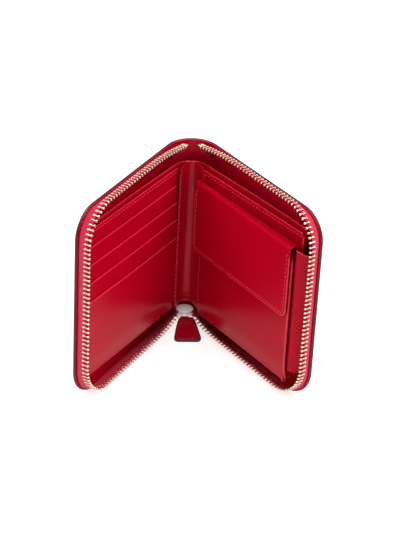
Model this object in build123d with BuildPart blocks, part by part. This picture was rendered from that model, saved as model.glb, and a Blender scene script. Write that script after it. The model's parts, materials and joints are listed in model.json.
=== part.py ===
"""A compact zip-around leather wallet that stands open like a book.

Millimetres, +Z up. The origin is on the bottom edge of the spine, in the middle of the cover leather.
The spine is at the back, the opening faces -Y, and the two halves spread to -X (left) and +X (right).
Every half piece is drawn once on the right half, in the half's own coordinates:
u runs from the hinge line to the outer edge, z is up, and n runs from the cover's outer face inwards.
"""

import os
from math import asin, atan2, cos, degrees, hypot, radians, sin, tan

from build123d import *

os.makedirs("parts", exist_ok=True)

# ---- driving dimensions ----
COVER_HEIGHT = 110.0
HALF_LENGTH = 91.75  # hinge line to the outer edge
HALF_OPENING = 32.0  # degrees between a half and the middle plane
SPINE_RADIUS = 14.9  # outer face of the rounded spine
COVER_LEATHER = 1.2
LINING_LEATHER = 0.8
WALL = COVER_LEATHER + LINING_LEATHER
HINGE_GAP = 0.4  # each wall stops this far from the hinge line
TOP_CORNER = 15.0
BOTTOM_CORNER = 19.0
STIFFENER_INSET = 6.0
STIFFENER_THICKNESS = 0.4
CLEARANCE = 0.05  # between pieces that touch but don't share a face

# ---- zip ----
TAPE_THICKNESS = 0.7
TAPE_INSET = 1.5  # where the tape leaves the lining, from the cover's edge
CHAIN_SIDE = 94.9  # the loop of teeth overhangs the outer edge of the cover
CHAIN_BOTTOM = 4.6
CHAIN_TOP = 114.7
CHAIN_TOP_CORNER = 20.0
CHAIN_BOTTOM_CORNER = 22.0
BOTTOM_CURL = (22.0, 0.0075)  # the rows bend away from their straight run: u where it starts, and how fast
TOP_CURL = (35.0, 0.003)
TAPE_FLAT = 7.0  # n where the tape stops sloping
TOOTH_ROOT = 8.0
TOOTH_HEAD = 11.6
TOOTH_PITCH = 2.5
TOOTH_WIDTH = 1.25
TOOTH_THICKNESS = 1.3
TOOTH_TAPER = 2.0
CHAIN_START_BOTTOM = 4.2  # u of the first tooth, beside the slider
CHAIN_END_TOP = 0.6  # u of the last tooth, beside the spine
TOP_STOP = (1.9, 1.7, 3.2)

# ---- inner booklet: card panel on the left, coin pocket on the right ----
BOOKLET_TILT = 2.65  # the panels lean towards the cover at their outer edge, in degrees
BOOKLET_BOTTOM = 14.0
PANEL_START = 2.75
PANEL_END = 89.25
CARD_FRONT = 10.5  # n of the card panel's front face at the hinge line
CARD_PANEL_TOP = 99.5
CARD_LEAF = 0.5
CARD_LEAF_TOPS = (90.0, 80.0, 70.0, 59.5)
PANEL_LEATHER = 0.6
NOTE_GAP = 0.4
DIVIDER_TOP = 101.5
COIN_BACK_FRONT = 10.3  # n of the coin pocket's back panel at the hinge line
COIN_BACK_LEATHER = 0.8
COIN_BACK_TOP = 99.0
COIN_BACK_END = 84.0
RIGHT_DIVIDER_GAP = 0.8
NOTE_FLOOR_START = 6.0
NOTE_FLOOR_END = 82.0
FLOOR_LEATHER = 1.0
GUSSET_BOTTOM = 27.0
GUSSET_TOP = 91.0
GUSSET_END = 92.3
GUSSET_LEVEL = 4.9
GUSSET_LEATHER = 0.6

COIN_START = 5.0
COIN_END = 83.5
COIN_BOTTOM = 13.0
COIN_TOP = 86.0
COIN_FRONT_BACK = 11.6
COIN_FRONT_FACE = 12.5
COIN_FOLD_DEPTH = 3.0
MAGNET_RADIUS = 4.0
MAGNET_THICKNESS = 0.6
MAGNET_U = 43.0
MAGNET_Z = 60.0

FLAP_START = 1.0
FLAP_BOTTOM = 52.0
FLAP_TOP = 93.2
FLAP_LEATHER = 0.9
FLAP_LINING = 0.4
FLAP_INNER = 12.9
FLAP_CORNER = 4.5
FLAP_SHELF_BACK = 10.6  # n where the fold over the pocket ends, at the back panel
FLAP_LINING_INSET = 1.0
FLAP_FOLD_RADIUS = 0.8

SPINE_STRIP_WIDTH = 10.0
SPINE_STRIP_LEATHER = 0.8
SPINE_STRIP_FRONT = -6.8
SPINE_WEB = 1.2

# ---- slider and pull ----
SLIDER_BACK = -2.0
SLIDER_FRONT = -9.8
SLIDER_HALF_WIDTH = 4.7
SLIDER_REAR_HALF_WIDTH = 4.1
SLIDER_NOSE = 2.5  # length of the rounded front
SLIDER_SIDE = 1.0  # length of the straight side behind it
SLIDER_LIFT = 2.8  # the parked slider sits this much above the straight run of the rows
PLATE = 0.6
CHANNEL = 2.0
FLANGE = 0.6
FLANGE_SLIT = 1.5
NECK_HALF_WIDTH = 0.9
NECK_PLACES = (0.5, 1.8, 2.6, 4.0)  # its point, widest stretch and end, from the slider's front
CROWN_HALF_WIDTH = 1.1
CROWN_BACK = -2.6
CROWN_FRONT = -5.9
CROWN_WALL = 0.8
CROWN_HEIGHT = 2.1
CROWN_BAR = 0.8
PULL_PIVOT_Y = -4.4
RING_WIRE = 0.5
RING_HALF_WIDTH = 2.6
RING_REACH = 2.6
RING_DROP = 1.0
RING_CORNER = 0.9
TAB_LEATHER = 0.85
TAB_DROP = 1.95  # the tab's underside below the pivot, square to the tab
TAB_TONGUE_HALF = 1.9
TAB_TONGUE_BACK = -1.8  # y of the tab's parts is measured from the pivot, along the tab
TAB_BACK = -3.5
TAB_FRONT = -22.9
TAB_SHIFT = 1.0  # the tab hangs a little to the right on its ring
TAB_BACK_HALF = 3.6
TAB_FRONT_HALF = 7.7
TAB_CORNER = 2.6
TAIL_FRONT = -4.9
TAIL_HALF = 6.5
BOTTOM_STOP = (3.6, 2.4, 1.6)

# ---- derived places ----
WAY_OUT = (sin(radians(HALF_OPENING)), -cos(radians(HALF_OPENING)), 0)
WAY_IN = (-cos(radians(HALF_OPENING)), -sin(radians(HALF_OPENING)), 0)
SPINE_CENTRE_Y = WALL / 2 - SPINE_RADIUS
ARCH_HALF_ANGLE = 90 - HALF_OPENING
CORNER_POINT = (
    SPINE_RADIUS * sin(radians(ARCH_HALF_ANGLE)),
    SPINE_CENTRE_Y + SPINE_RADIUS * cos(radians(ARCH_HALF_ANGLE)),
    0,
)
HALF = Plane(origin=CORNER_POINT, x_dir=WAY_OUT, z_dir=WAY_IN)
LEAN = radians(BOOKLET_TILT)
SLIDER_MIDDLE_Z = CHAIN_BOTTOM + SLIDER_LIFT
LOWER_PLATE_TOP = SLIDER_MIDDLE_Z - CHANNEL / 2
UPPER_PLATE_BOTTOM = SLIDER_MIDDLE_Z + CHANNEL / 2
CROWN_TOP = LOWER_PLATE_TOP - PLATE
CROWN_BOTTOM = CROWN_TOP - CROWN_HEIGHT
PULL_PIVOT_Z = (CROWN_BOTTOM + CROWN_BAR + CROWN_TOP) / 2
PULL_DIP = asin((PULL_PIVOT_Z - TAB_DROP) / -TAB_FRONT)  # the tab's far edge rests on the ground
PULL = Plane(
    origin=(0, PULL_PIVOT_Y, PULL_PIVOT_Z), x_dir=(1, 0, 0), z_dir=(0, -sin(PULL_DIP), cos(PULL_DIP))
)


def leaning_plane(front):
    """A booklet panel's plane: its local z is 0 on a face that meets the hinge line at n = front."""
    along = HALF.x_dir * cos(LEAN) - HALF.z_dir * sin(LEAN)
    inward = HALF.z_dir * cos(LEAN) + HALF.x_dir * sin(LEAN)
    return Plane(origin=HALF.from_local_coords((0, 0, front)), x_dir=along, z_dir=inward)


def plan_plane(z):
    """Seen from below at height z: local x is u and local y is n, so extruding goes down."""
    return Plane(origin=HALF.from_local_coords((0, z, 0)), x_dir=WAY_OUT, z_dir=(0, 0, -1))


def leaning_n(front, u):
    """n of a booklet face at u."""
    return front - u * tan(LEAN)


def keep(piece, name):
    """Labels a finished piece and writes its STEP file."""
    piece.label = name
    export_step(piece, f"parts/{name}.step")


def both_sides(piece, name):
    """Writes the right half's piece and its mirror image on the left half."""
    keep(piece, f"right_{name}")
    keep(mirror(piece, about=Plane.YZ), f"left_{name}")


def on_left(piece, name):
    """Writes only the mirror image, for pieces that the left half alone has."""
    keep(mirror(piece, about=Plane.YZ), name)


def half_outline(inset, start):
    """A half's outline, inset from its edge, with a square end beside the spine."""
    end = HALF_LENGTH - inset
    low = inset
    high = COVER_HEIGHT - inset
    top_radius = TOP_CORNER - inset
    bottom_radius = BOTTOM_CORNER - inset
    with BuildSketch() as outline:
        with BuildLine():
            Line((start, high), (start, low))
            Line((start, low), (end - bottom_radius, low))
            CenterArc((end - bottom_radius, low + bottom_radius), bottom_radius, -90, 90)
            Line((end, low + bottom_radius), (end, high - top_radius))
            CenterArc((end - top_radius, high - top_radius), top_radius, 0, 90)
            Line((end - top_radius, high), (start, high))
        make_face()
    return outline.sketch


def curl_shift(curl, u):
    """How far a row's end has bent away from its straight run at u."""
    start, rate = curl
    return rate * (start - u) ** 2


def zip_loop(side, low, high, bottom_radius, top_radius, bottom_start, top_end):
    """The open loop that the zip follows: along the bottom, up the outer edge and back along the top.

    Beside the spine both ends bend towards the middle of the cover's height, each as a parabola.
    """
    bottom_straight, top_straight = BOTTOM_CURL[0], TOP_CURL[0]
    first = (bottom_start, low + curl_shift(BOTTOM_CURL, bottom_start))
    last = (top_end, high - curl_shift(TOP_CURL, top_end))
    with BuildLine() as loop:
        Bezier(first, ((bottom_start + bottom_straight) / 2, low), (bottom_straight, low))
        Line((bottom_straight, low), (side - bottom_radius, low))
        CenterArc((side - bottom_radius, low + bottom_radius), bottom_radius, -90, 90)
        Line((side, low + bottom_radius), (side, high - top_radius))
        CenterArc((side - top_radius, high - top_radius), top_radius, 0, 90)
        Line((side - top_radius, high), (top_straight, high))
        Bezier((top_straight, high), ((top_end + top_straight) / 2, high), last)
    return loop.wire()


def tape_band(side, low, high, bottom_radius, top_radius, end):
    """The tape's section across n: a thin band along the loop, up to u = end at the top."""
    half = TAPE_THICKNESS / 2
    start = CHAIN_START_BOTTOM - TOOTH_WIDTH
    with BuildSketch() as band:
        with BuildLine():
            for out in (half, -half):
                add(
                    zip_loop(
                        side + out,
                        low - out,
                        high + out,
                        bottom_radius + out,
                        top_radius + out,
                        start,
                        end,
                    )
                )
            for u, level in (
                (start, low + curl_shift(BOTTOM_CURL, start)),
                (end, high - curl_shift(TOP_CURL, end)),
            ):
                Line((u, level - half), (u, level + half))
        make_face()
    return band.sketch


# ---- covers ----
def make_covers():
    """The outer leather, a board and the lining of each half."""
    with BuildPart() as cover:
        with BuildSketch(HALF):
            add(half_outline(0, HINGE_GAP))
        extrude(amount=COVER_LEATHER)
    both_sides(cover.part, "cover")

    with BuildPart() as stiffener:
        with BuildSketch(HALF.offset(COVER_LEATHER)):
            add(half_outline(STIFFENER_INSET, STIFFENER_INSET))
        extrude(amount=STIFFENER_THICKNESS)
    both_sides(stiffener.part, "stiffener")

    with BuildPart() as lining:
        with BuildSketch(HALF.offset(COVER_LEATHER)):
            add(half_outline(0, HINGE_GAP))
        extrude(amount=LINING_LEATHER)
        with BuildSketch(HALF.offset(COVER_LEATHER)):
            recess = STIFFENER_INSET - CLEARANCE
            add(half_outline(recess, recess))
        extrude(amount=STIFFENER_THICKNESS, mode=Mode.SUBTRACT)
    both_sides(lining.part, "lining")


def arch_band(outer, inner):
    """A band of the rounded spine between two radii, in plan."""
    stop = ARCH_HALF_ANGLE - degrees(HINGE_GAP / (SPINE_RADIUS - WALL / 2))
    centre = (0, SPINE_CENTRE_Y)
    with BuildSketch() as band:
        with BuildLine():
            outside = CenterArc(centre, outer, 90 - stop, 2 * stop)
            inside = CenterArc(centre, inner, 90 - stop, 2 * stop)
            Line(outside @ 0, inside @ 0)
            Line(outside @ 1, inside @ 1)
        make_face()
    return band.sketch


def make_spine():
    """The rounded back: cover leather, lining and the booklet's own spine strip on its web."""
    with BuildPart() as cover:
        with BuildSketch():
            add(arch_band(SPINE_RADIUS, SPINE_RADIUS - COVER_LEATHER))
        extrude(amount=COVER_HEIGHT)
    keep(cover.part, "spine_cover")

    with BuildPart() as lining:
        with BuildSketch():
            add(arch_band(SPINE_RADIUS - COVER_LEATHER, SPINE_RADIUS - WALL))
        extrude(amount=COVER_HEIGHT)
    keep(lining.part, "spine_lining")

    strip_back = SPINE_STRIP_FRONT + SPINE_STRIP_LEATHER
    web_end = -WALL / 2 - CLEARANCE
    with BuildPart() as strip:
        with BuildSketch(Plane.XY.offset(BOOKLET_BOTTOM)):
            with Locations((0, (SPINE_STRIP_FRONT + strip_back) / 2)):
                Rectangle(SPINE_STRIP_WIDTH, SPINE_STRIP_LEATHER)
            with Locations((0, (strip_back + web_end) / 2)):
                Rectangle(SPINE_WEB, web_end - strip_back)
        extrude(amount=CARD_PANEL_TOP - BOOKLET_BOTTOM)
        front_corners = strip.edges().filter_by(Axis.Z).group_by(Axis.Y)[0]
        fillet(front_corners, SPINE_STRIP_LEATHER / 2)
    keep(strip.part, "booklet_spine")


# ---- zip tape, teeth and stops ----
def make_zip():
    """The woven tape wall of each half, its row of separate teeth and the stop at the top end."""
    inset_side = HALF_LENGTH - TAPE_INSET
    with BuildPart() as tape:
        with BuildSketch(HALF.offset(WALL)):
            add(
                tape_band(
                    inset_side,
                    TAPE_INSET,
                    COVER_HEIGHT - TAPE_INSET,
                    BOTTOM_CORNER - TAPE_INSET,
                    TOP_CORNER - TAPE_INSET,
                    HINGE_GAP,
                )
            )
        with BuildSketch(HALF.offset(TAPE_FLAT)) as rim:
            add(
                tape_band(
                    CHAIN_SIDE,
                    CHAIN_BOTTOM,
                    CHAIN_TOP,
                    CHAIN_BOTTOM_CORNER,
                    CHAIN_TOP_CORNER,
                    CHAIN_END_TOP - TOOTH_WIDTH,
                )
            )
        loft(ruled=True)
        extrude(rim.sketch, amount=TOOTH_ROOT - TAPE_FLAT, dir=WAY_IN)
    both_sides(tape.part, "zip_tape")

    path = zip_loop(
        CHAIN_SIDE,
        CHAIN_BOTTOM,
        CHAIN_TOP,
        CHAIN_BOTTOM_CORNER,
        CHAIN_TOP_CORNER,
        CHAIN_START_BOTTOM,
        CHAIN_END_TOP,
    )
    count = int(path.length / TOOTH_PITCH) + 1
    places = []
    for number in range(count):
        share = number * TOOTH_PITCH / path.length
        point = path @ share
        heading = path % share
        turn = Vector(1, 0, 0).get_signed_angle(heading, Vector(0, 0, 1))
        places.append(Location((point.X, point.Y), turn))
    with BuildPart() as teeth:
        with BuildSketch(HALF.offset(TOOTH_ROOT)):
            with Locations(*places):
                Rectangle(TOOTH_WIDTH, TOOTH_THICKNESS)
        extrude(amount=TOOTH_HEAD - TOOTH_ROOT, taper=TOOTH_TAPER)
    both_sides(teeth.part, "zip_teeth")

    end, heading = path @ 1, path % 1
    stop_place = end + heading * TOP_STOP[0]
    stop_turn = degrees(atan2(heading.Y, heading.X))
    with BuildPart() as stop:
        with BuildSketch(HALF.offset(TOOTH_ROOT)):
            with Locations(Location((stop_place.X, stop_place.Y), stop_turn)):
                RectangleRounded(TOP_STOP[0], TOP_STOP[1], TOP_STOP[1] / 4)
        extrude(amount=TOP_STOP[2])
    both_sides(stop.part, "top_stop")


def make_zip_tail():
    """The joined end of the tapes at the foot of the spine, and the stop that the slider parks on."""
    with BuildPart() as tail:
        with BuildSketch(Plane.XY.offset(SLIDER_MIDDLE_Z - TAPE_THICKNESS / 2)):
            with Locations((0, TAIL_FRONT / 2)):
                Rectangle(2 * TAIL_HALF, -TAIL_FRONT)
            with Locations((0, SPINE_CENTRE_Y)):
                Circle(SPINE_RADIUS - WALL, mode=Mode.INTERSECT)
            with Locations((0, -WALL / 2 - BOTTOM_STOP[1])):
                Rectangle(BOTTOM_STOP[0], BOTTOM_STOP[1], mode=Mode.SUBTRACT)
        extrude(amount=TAPE_THICKNESS)
    keep(tail.part, "zip_tail")

    with BuildPart() as stop:
        with Locations((0, -WALL / 2 - BOTTOM_STOP[1], SLIDER_MIDDLE_Z)):
            Box(*BOTTOM_STOP)
    keep(stop.part, "bottom_stop")


# ---- left half: notes and cards ----
def note_floor(front, depth):
    """The fold that closes the bottom of a note pocket, from the lining to the divider."""
    back = front - depth / cos(LEAN)
    with BuildPart() as floor:
        with BuildSketch(plan_plane(BOOKLET_BOTTOM + FLOOR_LEATHER)):
            with BuildLine():
                Polyline(
                    (NOTE_FLOOR_START, WALL),
                    (NOTE_FLOOR_END, WALL),
                    (NOTE_FLOOR_END, leaning_n(back, NOTE_FLOOR_END)),
                    (NOTE_FLOOR_START, leaning_n(back, NOTE_FLOOR_START)),
                    close=True,
                )
            make_face()
        extrude(amount=FLOOR_LEATHER)
    return floor.part


def side_gusset(start):
    """The leather that joins the booklet's outer edge to the zip tape."""
    middle = (GUSSET_BOTTOM + GUSSET_TOP) / 2
    with BuildPart() as gusset:
        with BuildSketch(HALF.offset(GUSSET_LEVEL)):
            with Locations(((start + GUSSET_END) / 2, middle)):
                Rectangle(GUSSET_END - start, GUSSET_TOP - GUSSET_BOTTOM)
        extrude(amount=GUSSET_LEATHER)
    return gusset.part


def slab(front, depth, thickness, top, end):
    """A booklet panel of one thickness whose front face lies at depth behind the leaning front."""
    with BuildPart() as leaf:
        with BuildSketch(leaning_plane(front).offset(-depth)):
            with Locations(((PANEL_START + end) / 2, (BOOKLET_BOTTOM + top) / 2)):
                Rectangle(end - PANEL_START, top - BOOKLET_BOTTOM)
        extrude(amount=-thickness)
    return leaf.part


def make_card_side():
    """Four overlapping card leaves on their backing panel, with the note divider behind."""
    leaves = len(CARD_LEAF_TOPS)
    for number, top in enumerate(CARD_LEAF_TOPS, start=1):
        depth = (leaves - number) * CARD_LEAF
        on_left(slab(CARD_FRONT, depth, CARD_LEAF, top, PANEL_END), f"card_slot_{number}")
    stack = leaves * CARD_LEAF
    on_left(slab(CARD_FRONT, stack, PANEL_LEATHER, CARD_PANEL_TOP, PANEL_END), "card_panel")
    divider_depth = stack + PANEL_LEATHER + NOTE_GAP
    on_left(
        slab(CARD_FRONT, divider_depth, PANEL_LEATHER, DIVIDER_TOP, PANEL_END), "left_note_divider"
    )
    on_left(note_floor(CARD_FRONT, divider_depth + PANEL_LEATHER), "left_note_floor")
    on_left(side_gusset(PANEL_END), "left_side_gusset")


# ---- right half: notes and coins ----
def make_coin_side():
    """The coin pocket: back panel, front panel, folded gusset, bottom and inner seam."""
    back = slab(COIN_BACK_FRONT, 0, COIN_BACK_LEATHER, COIN_BACK_TOP, COIN_BACK_END)
    keep(back, "coin_pocket_back")
    divider_depth = COIN_BACK_LEATHER + RIGHT_DIVIDER_GAP
    divider = slab(COIN_BACK_FRONT, divider_depth, PANEL_LEATHER, DIVIDER_TOP, COIN_BACK_END)
    keep(divider, "right_note_divider")
    keep(note_floor(COIN_BACK_FRONT, divider_depth + PANEL_LEATHER), "right_note_floor")
    keep(side_gusset(COIN_BACK_END + PANEL_LEATHER), "right_side_gusset")

    front_leather = COIN_FRONT_FACE - COIN_FRONT_BACK
    with BuildPart() as front:
        with BuildSketch(HALF.offset(COIN_FRONT_BACK)):
            with Locations(((COIN_START + COIN_END) / 2, (COIN_BOTTOM + COIN_TOP) / 2)):
                Rectangle(COIN_END - COIN_START, COIN_TOP - COIN_BOTTOM)
        extrude(amount=front_leather)
        with BuildSketch(HALF.offset(COIN_FRONT_BACK)):
            with Locations((MAGNET_U, MAGNET_Z)):
                Circle(MAGNET_RADIUS)
        extrude(amount=MAGNET_THICKNESS, mode=Mode.SUBTRACT)
    keep(front.part, "coin_pocket_front")

    fold_u = COIN_END - COIN_FOLD_DEPTH
    gusset_back = leaning_n(COIN_BACK_FRONT, COIN_END)
    fold_n = (COIN_FRONT_BACK + gusset_back) / 2
    slant = hypot(COIN_FOLD_DEPTH, COIN_FRONT_BACK - fold_n)
    reach = GUSSET_LEATHER * slant / (COIN_FRONT_BACK - fold_n)
    with BuildPart() as gusset:
        with BuildSketch(plan_plane(COIN_TOP)):
            with BuildLine():
                Polyline(
                    (COIN_END, COIN_FRONT_BACK),
                    (fold_u, fold_n),
                    (COIN_END, gusset_back),
                    (COIN_END - reach, leaning_n(COIN_BACK_FRONT, COIN_END - reach)),
                    (fold_u - reach, fold_n),
                    (COIN_END - reach, COIN_FRONT_BACK),
                    close=True,
                )
            make_face()
        extrude(amount=COIN_TOP - COIN_BOTTOM - FLOOR_LEATHER)
    keep(gusset.part, "coin_gusset")

    floor_end = fold_u - reach
    with BuildPart() as floor:
        with BuildSketch(plan_plane(BOOKLET_BOTTOM + FLOOR_LEATHER)):
            with BuildLine():
                Polyline(
                    (COIN_START, COIN_FRONT_BACK),
                    (floor_end, COIN_FRONT_BACK),
                    (floor_end, leaning_n(COIN_BACK_FRONT, floor_end)),
                    (COIN_START, leaning_n(COIN_BACK_FRONT, COIN_START)),
                    close=True,
                )
            make_face()
        extrude(amount=FLOOR_LEATHER)
    keep(floor.part, "coin_pocket_floor")

    seam_end = COIN_START + FLOOR_LEATHER
    with BuildPart() as seam:
        with BuildSketch(plan_plane(COIN_TOP)):
            with BuildLine():
                Polyline(
                    (COIN_START, COIN_FRONT_BACK),
                    (seam_end, COIN_FRONT_BACK),
                    (seam_end, leaning_n(COIN_BACK_FRONT, seam_end)),
                    (COIN_START, leaning_n(COIN_BACK_FRONT, COIN_START)),
                    close=True,
                )
            make_face()
        extrude(amount=COIN_TOP - BOOKLET_BOTTOM - FLOOR_LEATHER)
    keep(seam.part, "coin_pocket_seam")

    with BuildPart() as magnet:
        with BuildSketch(HALF.offset(COIN_FRONT_BACK)):
            with Locations((MAGNET_U, MAGNET_Z)):
                Circle(MAGNET_RADIUS)
        extrude(amount=MAGNET_THICKNESS)
    keep(magnet.part, "pocket_magnet")


def make_flap():
    """The coin flap: leather that comes over the top of the pocket and down its front, and its lining."""
    leather_back = FLAP_INNER + FLAP_LINING
    leather_front = leather_back + FLAP_LEATHER
    middle_u = (FLAP_START + COIN_END) / 2
    length = COIN_END - FLAP_START
    with BuildPart() as flap:
        with BuildSketch(HALF.offset(leather_back)) as leaf:
            with Locations((middle_u, (FLAP_BOTTOM + FLAP_TOP) / 2)):
                Rectangle(length, FLAP_TOP - FLAP_BOTTOM)
            fillet(leaf.vertices().group_by(Axis.Y)[0], FLAP_CORNER)
        extrude(amount=FLAP_LEATHER)
        with BuildSketch(plan_plane(FLAP_TOP)):
            with Locations((middle_u, (FLAP_SHELF_BACK + leather_front) / 2)):
                Rectangle(length, leather_front - FLAP_SHELF_BACK)
        extrude(amount=FLAP_LEATHER)
        top_edges = flap.edges().filter_by(Axis((0, 0, 0), WAY_OUT)).group_by(Axis.Z)[-1]
        fold = top_edges.sort_by(lambda e: HALF.to_local_coords(e.center()).Z)[-1]
        fillet(fold, FLAP_FOLD_RADIUS)
        with BuildSketch(HALF.offset(leather_back)):
            with Locations((MAGNET_U, MAGNET_Z)):
                Circle(MAGNET_RADIUS)
        extrude(amount=MAGNET_THICKNESS, mode=Mode.SUBTRACT)
    keep(flap.part, "coin_flap")

    lining_top = FLAP_TOP - FLAP_LEATHER - FLAP_LINING_INSET / 2
    lining_bottom = FLAP_BOTTOM + FLAP_LINING_INSET / 2
    with BuildPart() as lining:
        with BuildSketch(HALF.offset(FLAP_INNER)) as leaf:
            with Locations((middle_u, (lining_bottom + lining_top) / 2)):
                Rectangle(length - 2 * FLAP_LINING_INSET, lining_top - lining_bottom)
            fillet(leaf.vertices().group_by(Axis.Y)[0], FLAP_CORNER - FLAP_LINING_INSET)
        extrude(amount=FLAP_LINING)
    keep(lining.part, "coin_flap_lining")

    with BuildPart() as magnet:
        with BuildSketch(HALF.offset(leather_back)):
            with Locations((MAGNET_U, MAGNET_Z)):
                Circle(MAGNET_RADIUS)
        extrude(amount=MAGNET_THICKNESS)
    keep(magnet.part, "flap_magnet")


# ---- slider and pull ----
def plate_outline():
    """The slider plate in plan: a rounded heart, wide at its open end."""
    shoulder = SLIDER_FRONT + SLIDER_NOSE
    with BuildSketch() as plate:
        with BuildLine():
            Polyline(
                (SLIDER_REAR_HALF_WIDTH, SLIDER_BACK),
                (SLIDER_HALF_WIDTH, shoulder + SLIDER_SIDE),
                (SLIDER_HALF_WIDTH, shoulder),
            )
            ThreePointArc(
                (SLIDER_HALF_WIDTH, shoulder), (0, SLIDER_FRONT), (-SLIDER_HALF_WIDTH, shoulder)
            )
            Polyline(
                (-SLIDER_HALF_WIDTH, shoulder),
                (-SLIDER_HALF_WIDTH, shoulder + SLIDER_SIDE),
                (-SLIDER_REAR_HALF_WIDTH, SLIDER_BACK),
                (SLIDER_REAR_HALF_WIDTH, SLIDER_BACK),
            )
        make_face()
    return plate.sketch


def flange_outline():
    """The slider's side lips in plan: a thin rim along both sides, open at the mouth and the back."""
    mouth = SLIDER_FRONT + SLIDER_NOSE
    inner_rear = SLIDER_REAR_HALF_WIDTH - FLANGE
    inner_front = SLIDER_HALF_WIDTH - FLANGE
    with BuildSketch() as rim:
        with BuildLine():
            Polyline(
                (SLIDER_REAR_HALF_WIDTH, SLIDER_BACK),
                (SLIDER_HALF_WIDTH, mouth + SLIDER_SIDE),
                (SLIDER_HALF_WIDTH, mouth),
                (inner_front, mouth),
                (inner_front, mouth + SLIDER_SIDE),
                (inner_rear, SLIDER_BACK),
                close=True,
            )
        make_face()
        mirror(about=Plane.YZ)
    return rim.sketch


def make_slider():
    """The slider: two plates joined by the wedge that parts the rows, and the crown under it."""
    lip = (CHANNEL - FLANGE_SLIT) / 2
    with BuildPart() as slider:
        for bottom in (LOWER_PLATE_TOP - PLATE, UPPER_PLATE_BOTTOM):
            with BuildSketch(Plane.XY.offset(bottom)):
                add(plate_outline())
            extrude(amount=PLATE)
        for bottom in (LOWER_PLATE_TOP, UPPER_PLATE_BOTTOM - lip):
            with BuildSketch(Plane.XY.offset(bottom)):
                add(flange_outline())
            extrude(amount=lip)
        point, wide_start, wide_end, end = (SLIDER_FRONT + place for place in NECK_PLACES)
        with BuildSketch(Plane.XY.offset(LOWER_PLATE_TOP)):
            with BuildLine():
                Polyline(
                    (0, point),
                    (NECK_HALF_WIDTH, wide_start),
                    (NECK_HALF_WIDTH, wide_end),
                    (0, end),
                    (-NECK_HALF_WIDTH, wide_end),
                    (-NECK_HALF_WIDTH, wide_start),
                    close=True,
                )
            make_face()
        extrude(amount=CHANNEL)
    keep(slider.part, "slider_body")

    middle = (CROWN_BACK + CROWN_FRONT) / 2
    with BuildPart() as crown:
        with BuildSketch(Plane.YZ.offset(-CROWN_HALF_WIDTH)) as side:
            with Locations((middle, (CROWN_BOTTOM + CROWN_TOP) / 2)):
                Rectangle(CROWN_BACK - CROWN_FRONT, CROWN_HEIGHT)
            fillet(side.vertices().group_by(Axis.Y)[0], CROWN_WALL)
            with Locations((middle, (CROWN_BOTTOM + CROWN_BAR + CROWN_TOP) / 2)):
                Rectangle(
                    CROWN_BACK - CROWN_FRONT - 2 * CROWN_WALL,
                    CROWN_HEIGHT - CROWN_BAR,
                    mode=Mode.SUBTRACT,
                )
        extrude(amount=2 * CROWN_HALF_WIDTH)
    keep(crown.part, "slider_crown")


def tab_outline():
    """The pull tab in plan: a tongue round the ring, then a trapezoid with rounded far corners."""
    with BuildSketch() as body:
        with BuildLine():
            Polyline(
                (TAB_SHIFT + TAB_BACK_HALF, TAB_BACK),
                (TAB_SHIFT + TAB_FRONT_HALF, TAB_FRONT),
                (TAB_SHIFT - TAB_FRONT_HALF, TAB_FRONT),
                (TAB_SHIFT - TAB_BACK_HALF, TAB_BACK),
                close=True,
            )
        make_face()
        fillet(body.vertices().group_by(Axis.Y)[0], TAB_CORNER)
        with Locations((0, (TAB_TONGUE_BACK + TAB_BACK) / 2)):
            Rectangle(2 * TAB_TONGUE_HALF, TAB_TONGUE_BACK - TAB_BACK)
    return body.sketch


def make_pull():
    """The pull: a wire ring through the crown and a leather tab of two layers round it."""
    ring_tilt = degrees(atan2(RING_DROP, RING_REACH))
    ring_length = hypot(RING_REACH, RING_DROP)
    with BuildPart() as ring:
        with BuildLine(PULL.rotated((ring_tilt, 0, 0))) as loop:
            FilletPolyline(
                (-RING_HALF_WIDTH, 0),
                (RING_HALF_WIDTH, 0),
                (RING_HALF_WIDTH, -ring_length),
                (-RING_HALF_WIDTH, -ring_length),
                radius=RING_CORNER,
                close=True,
            )
        with BuildSketch(Plane(origin=loop.wire() @ 0, z_dir=loop.wire() % 0)):
            Circle(RING_WIRE)
        sweep(path=loop.wire())
    keep(ring.part, "pull_ring")

    bore = RING_WIRE + CLEARANCE
    bore_plane = Plane(
        origin=PULL.from_local_coords((-TAB_TONGUE_HALF, -RING_REACH, -RING_DROP)), z_dir=(1, 0, 0)
    )
    for name, drop in (("pull_tab_bottom", TAB_DROP), ("pull_tab_top", TAB_DROP - TAB_LEATHER)):
        with BuildPart() as tab:
            with BuildSketch(PULL.offset(-drop)):
                add(tab_outline())
            extrude(amount=TAB_LEATHER)
            with BuildSketch(bore_plane):
                Circle(bore)
            extrude(amount=2 * TAB_TONGUE_HALF, mode=Mode.SUBTRACT)
        keep(tab.part, name)


make_covers()
make_spine()
make_zip()
make_zip_tail()
make_card_side()
make_coin_side()
make_flap()
make_slider()
make_pull()
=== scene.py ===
"""Looks of a zip-around leather wallet that stands open like a book, built round its CAD frame.

Shapes are worked out in millimetres and become metres when a mesh is made. A half has its own coordinates:
u runs from the hinge line to the outer edge, z is up, and n runs from the cover's outer face inwards.
Everything is drawn for the right half or the middle; side LEFT mirrors it in X.
"""

import json
from math import asin, cos, pi, radians, sin, tan

import bpy
import numpy as np
from mathutils import Matrix, Vector


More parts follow.
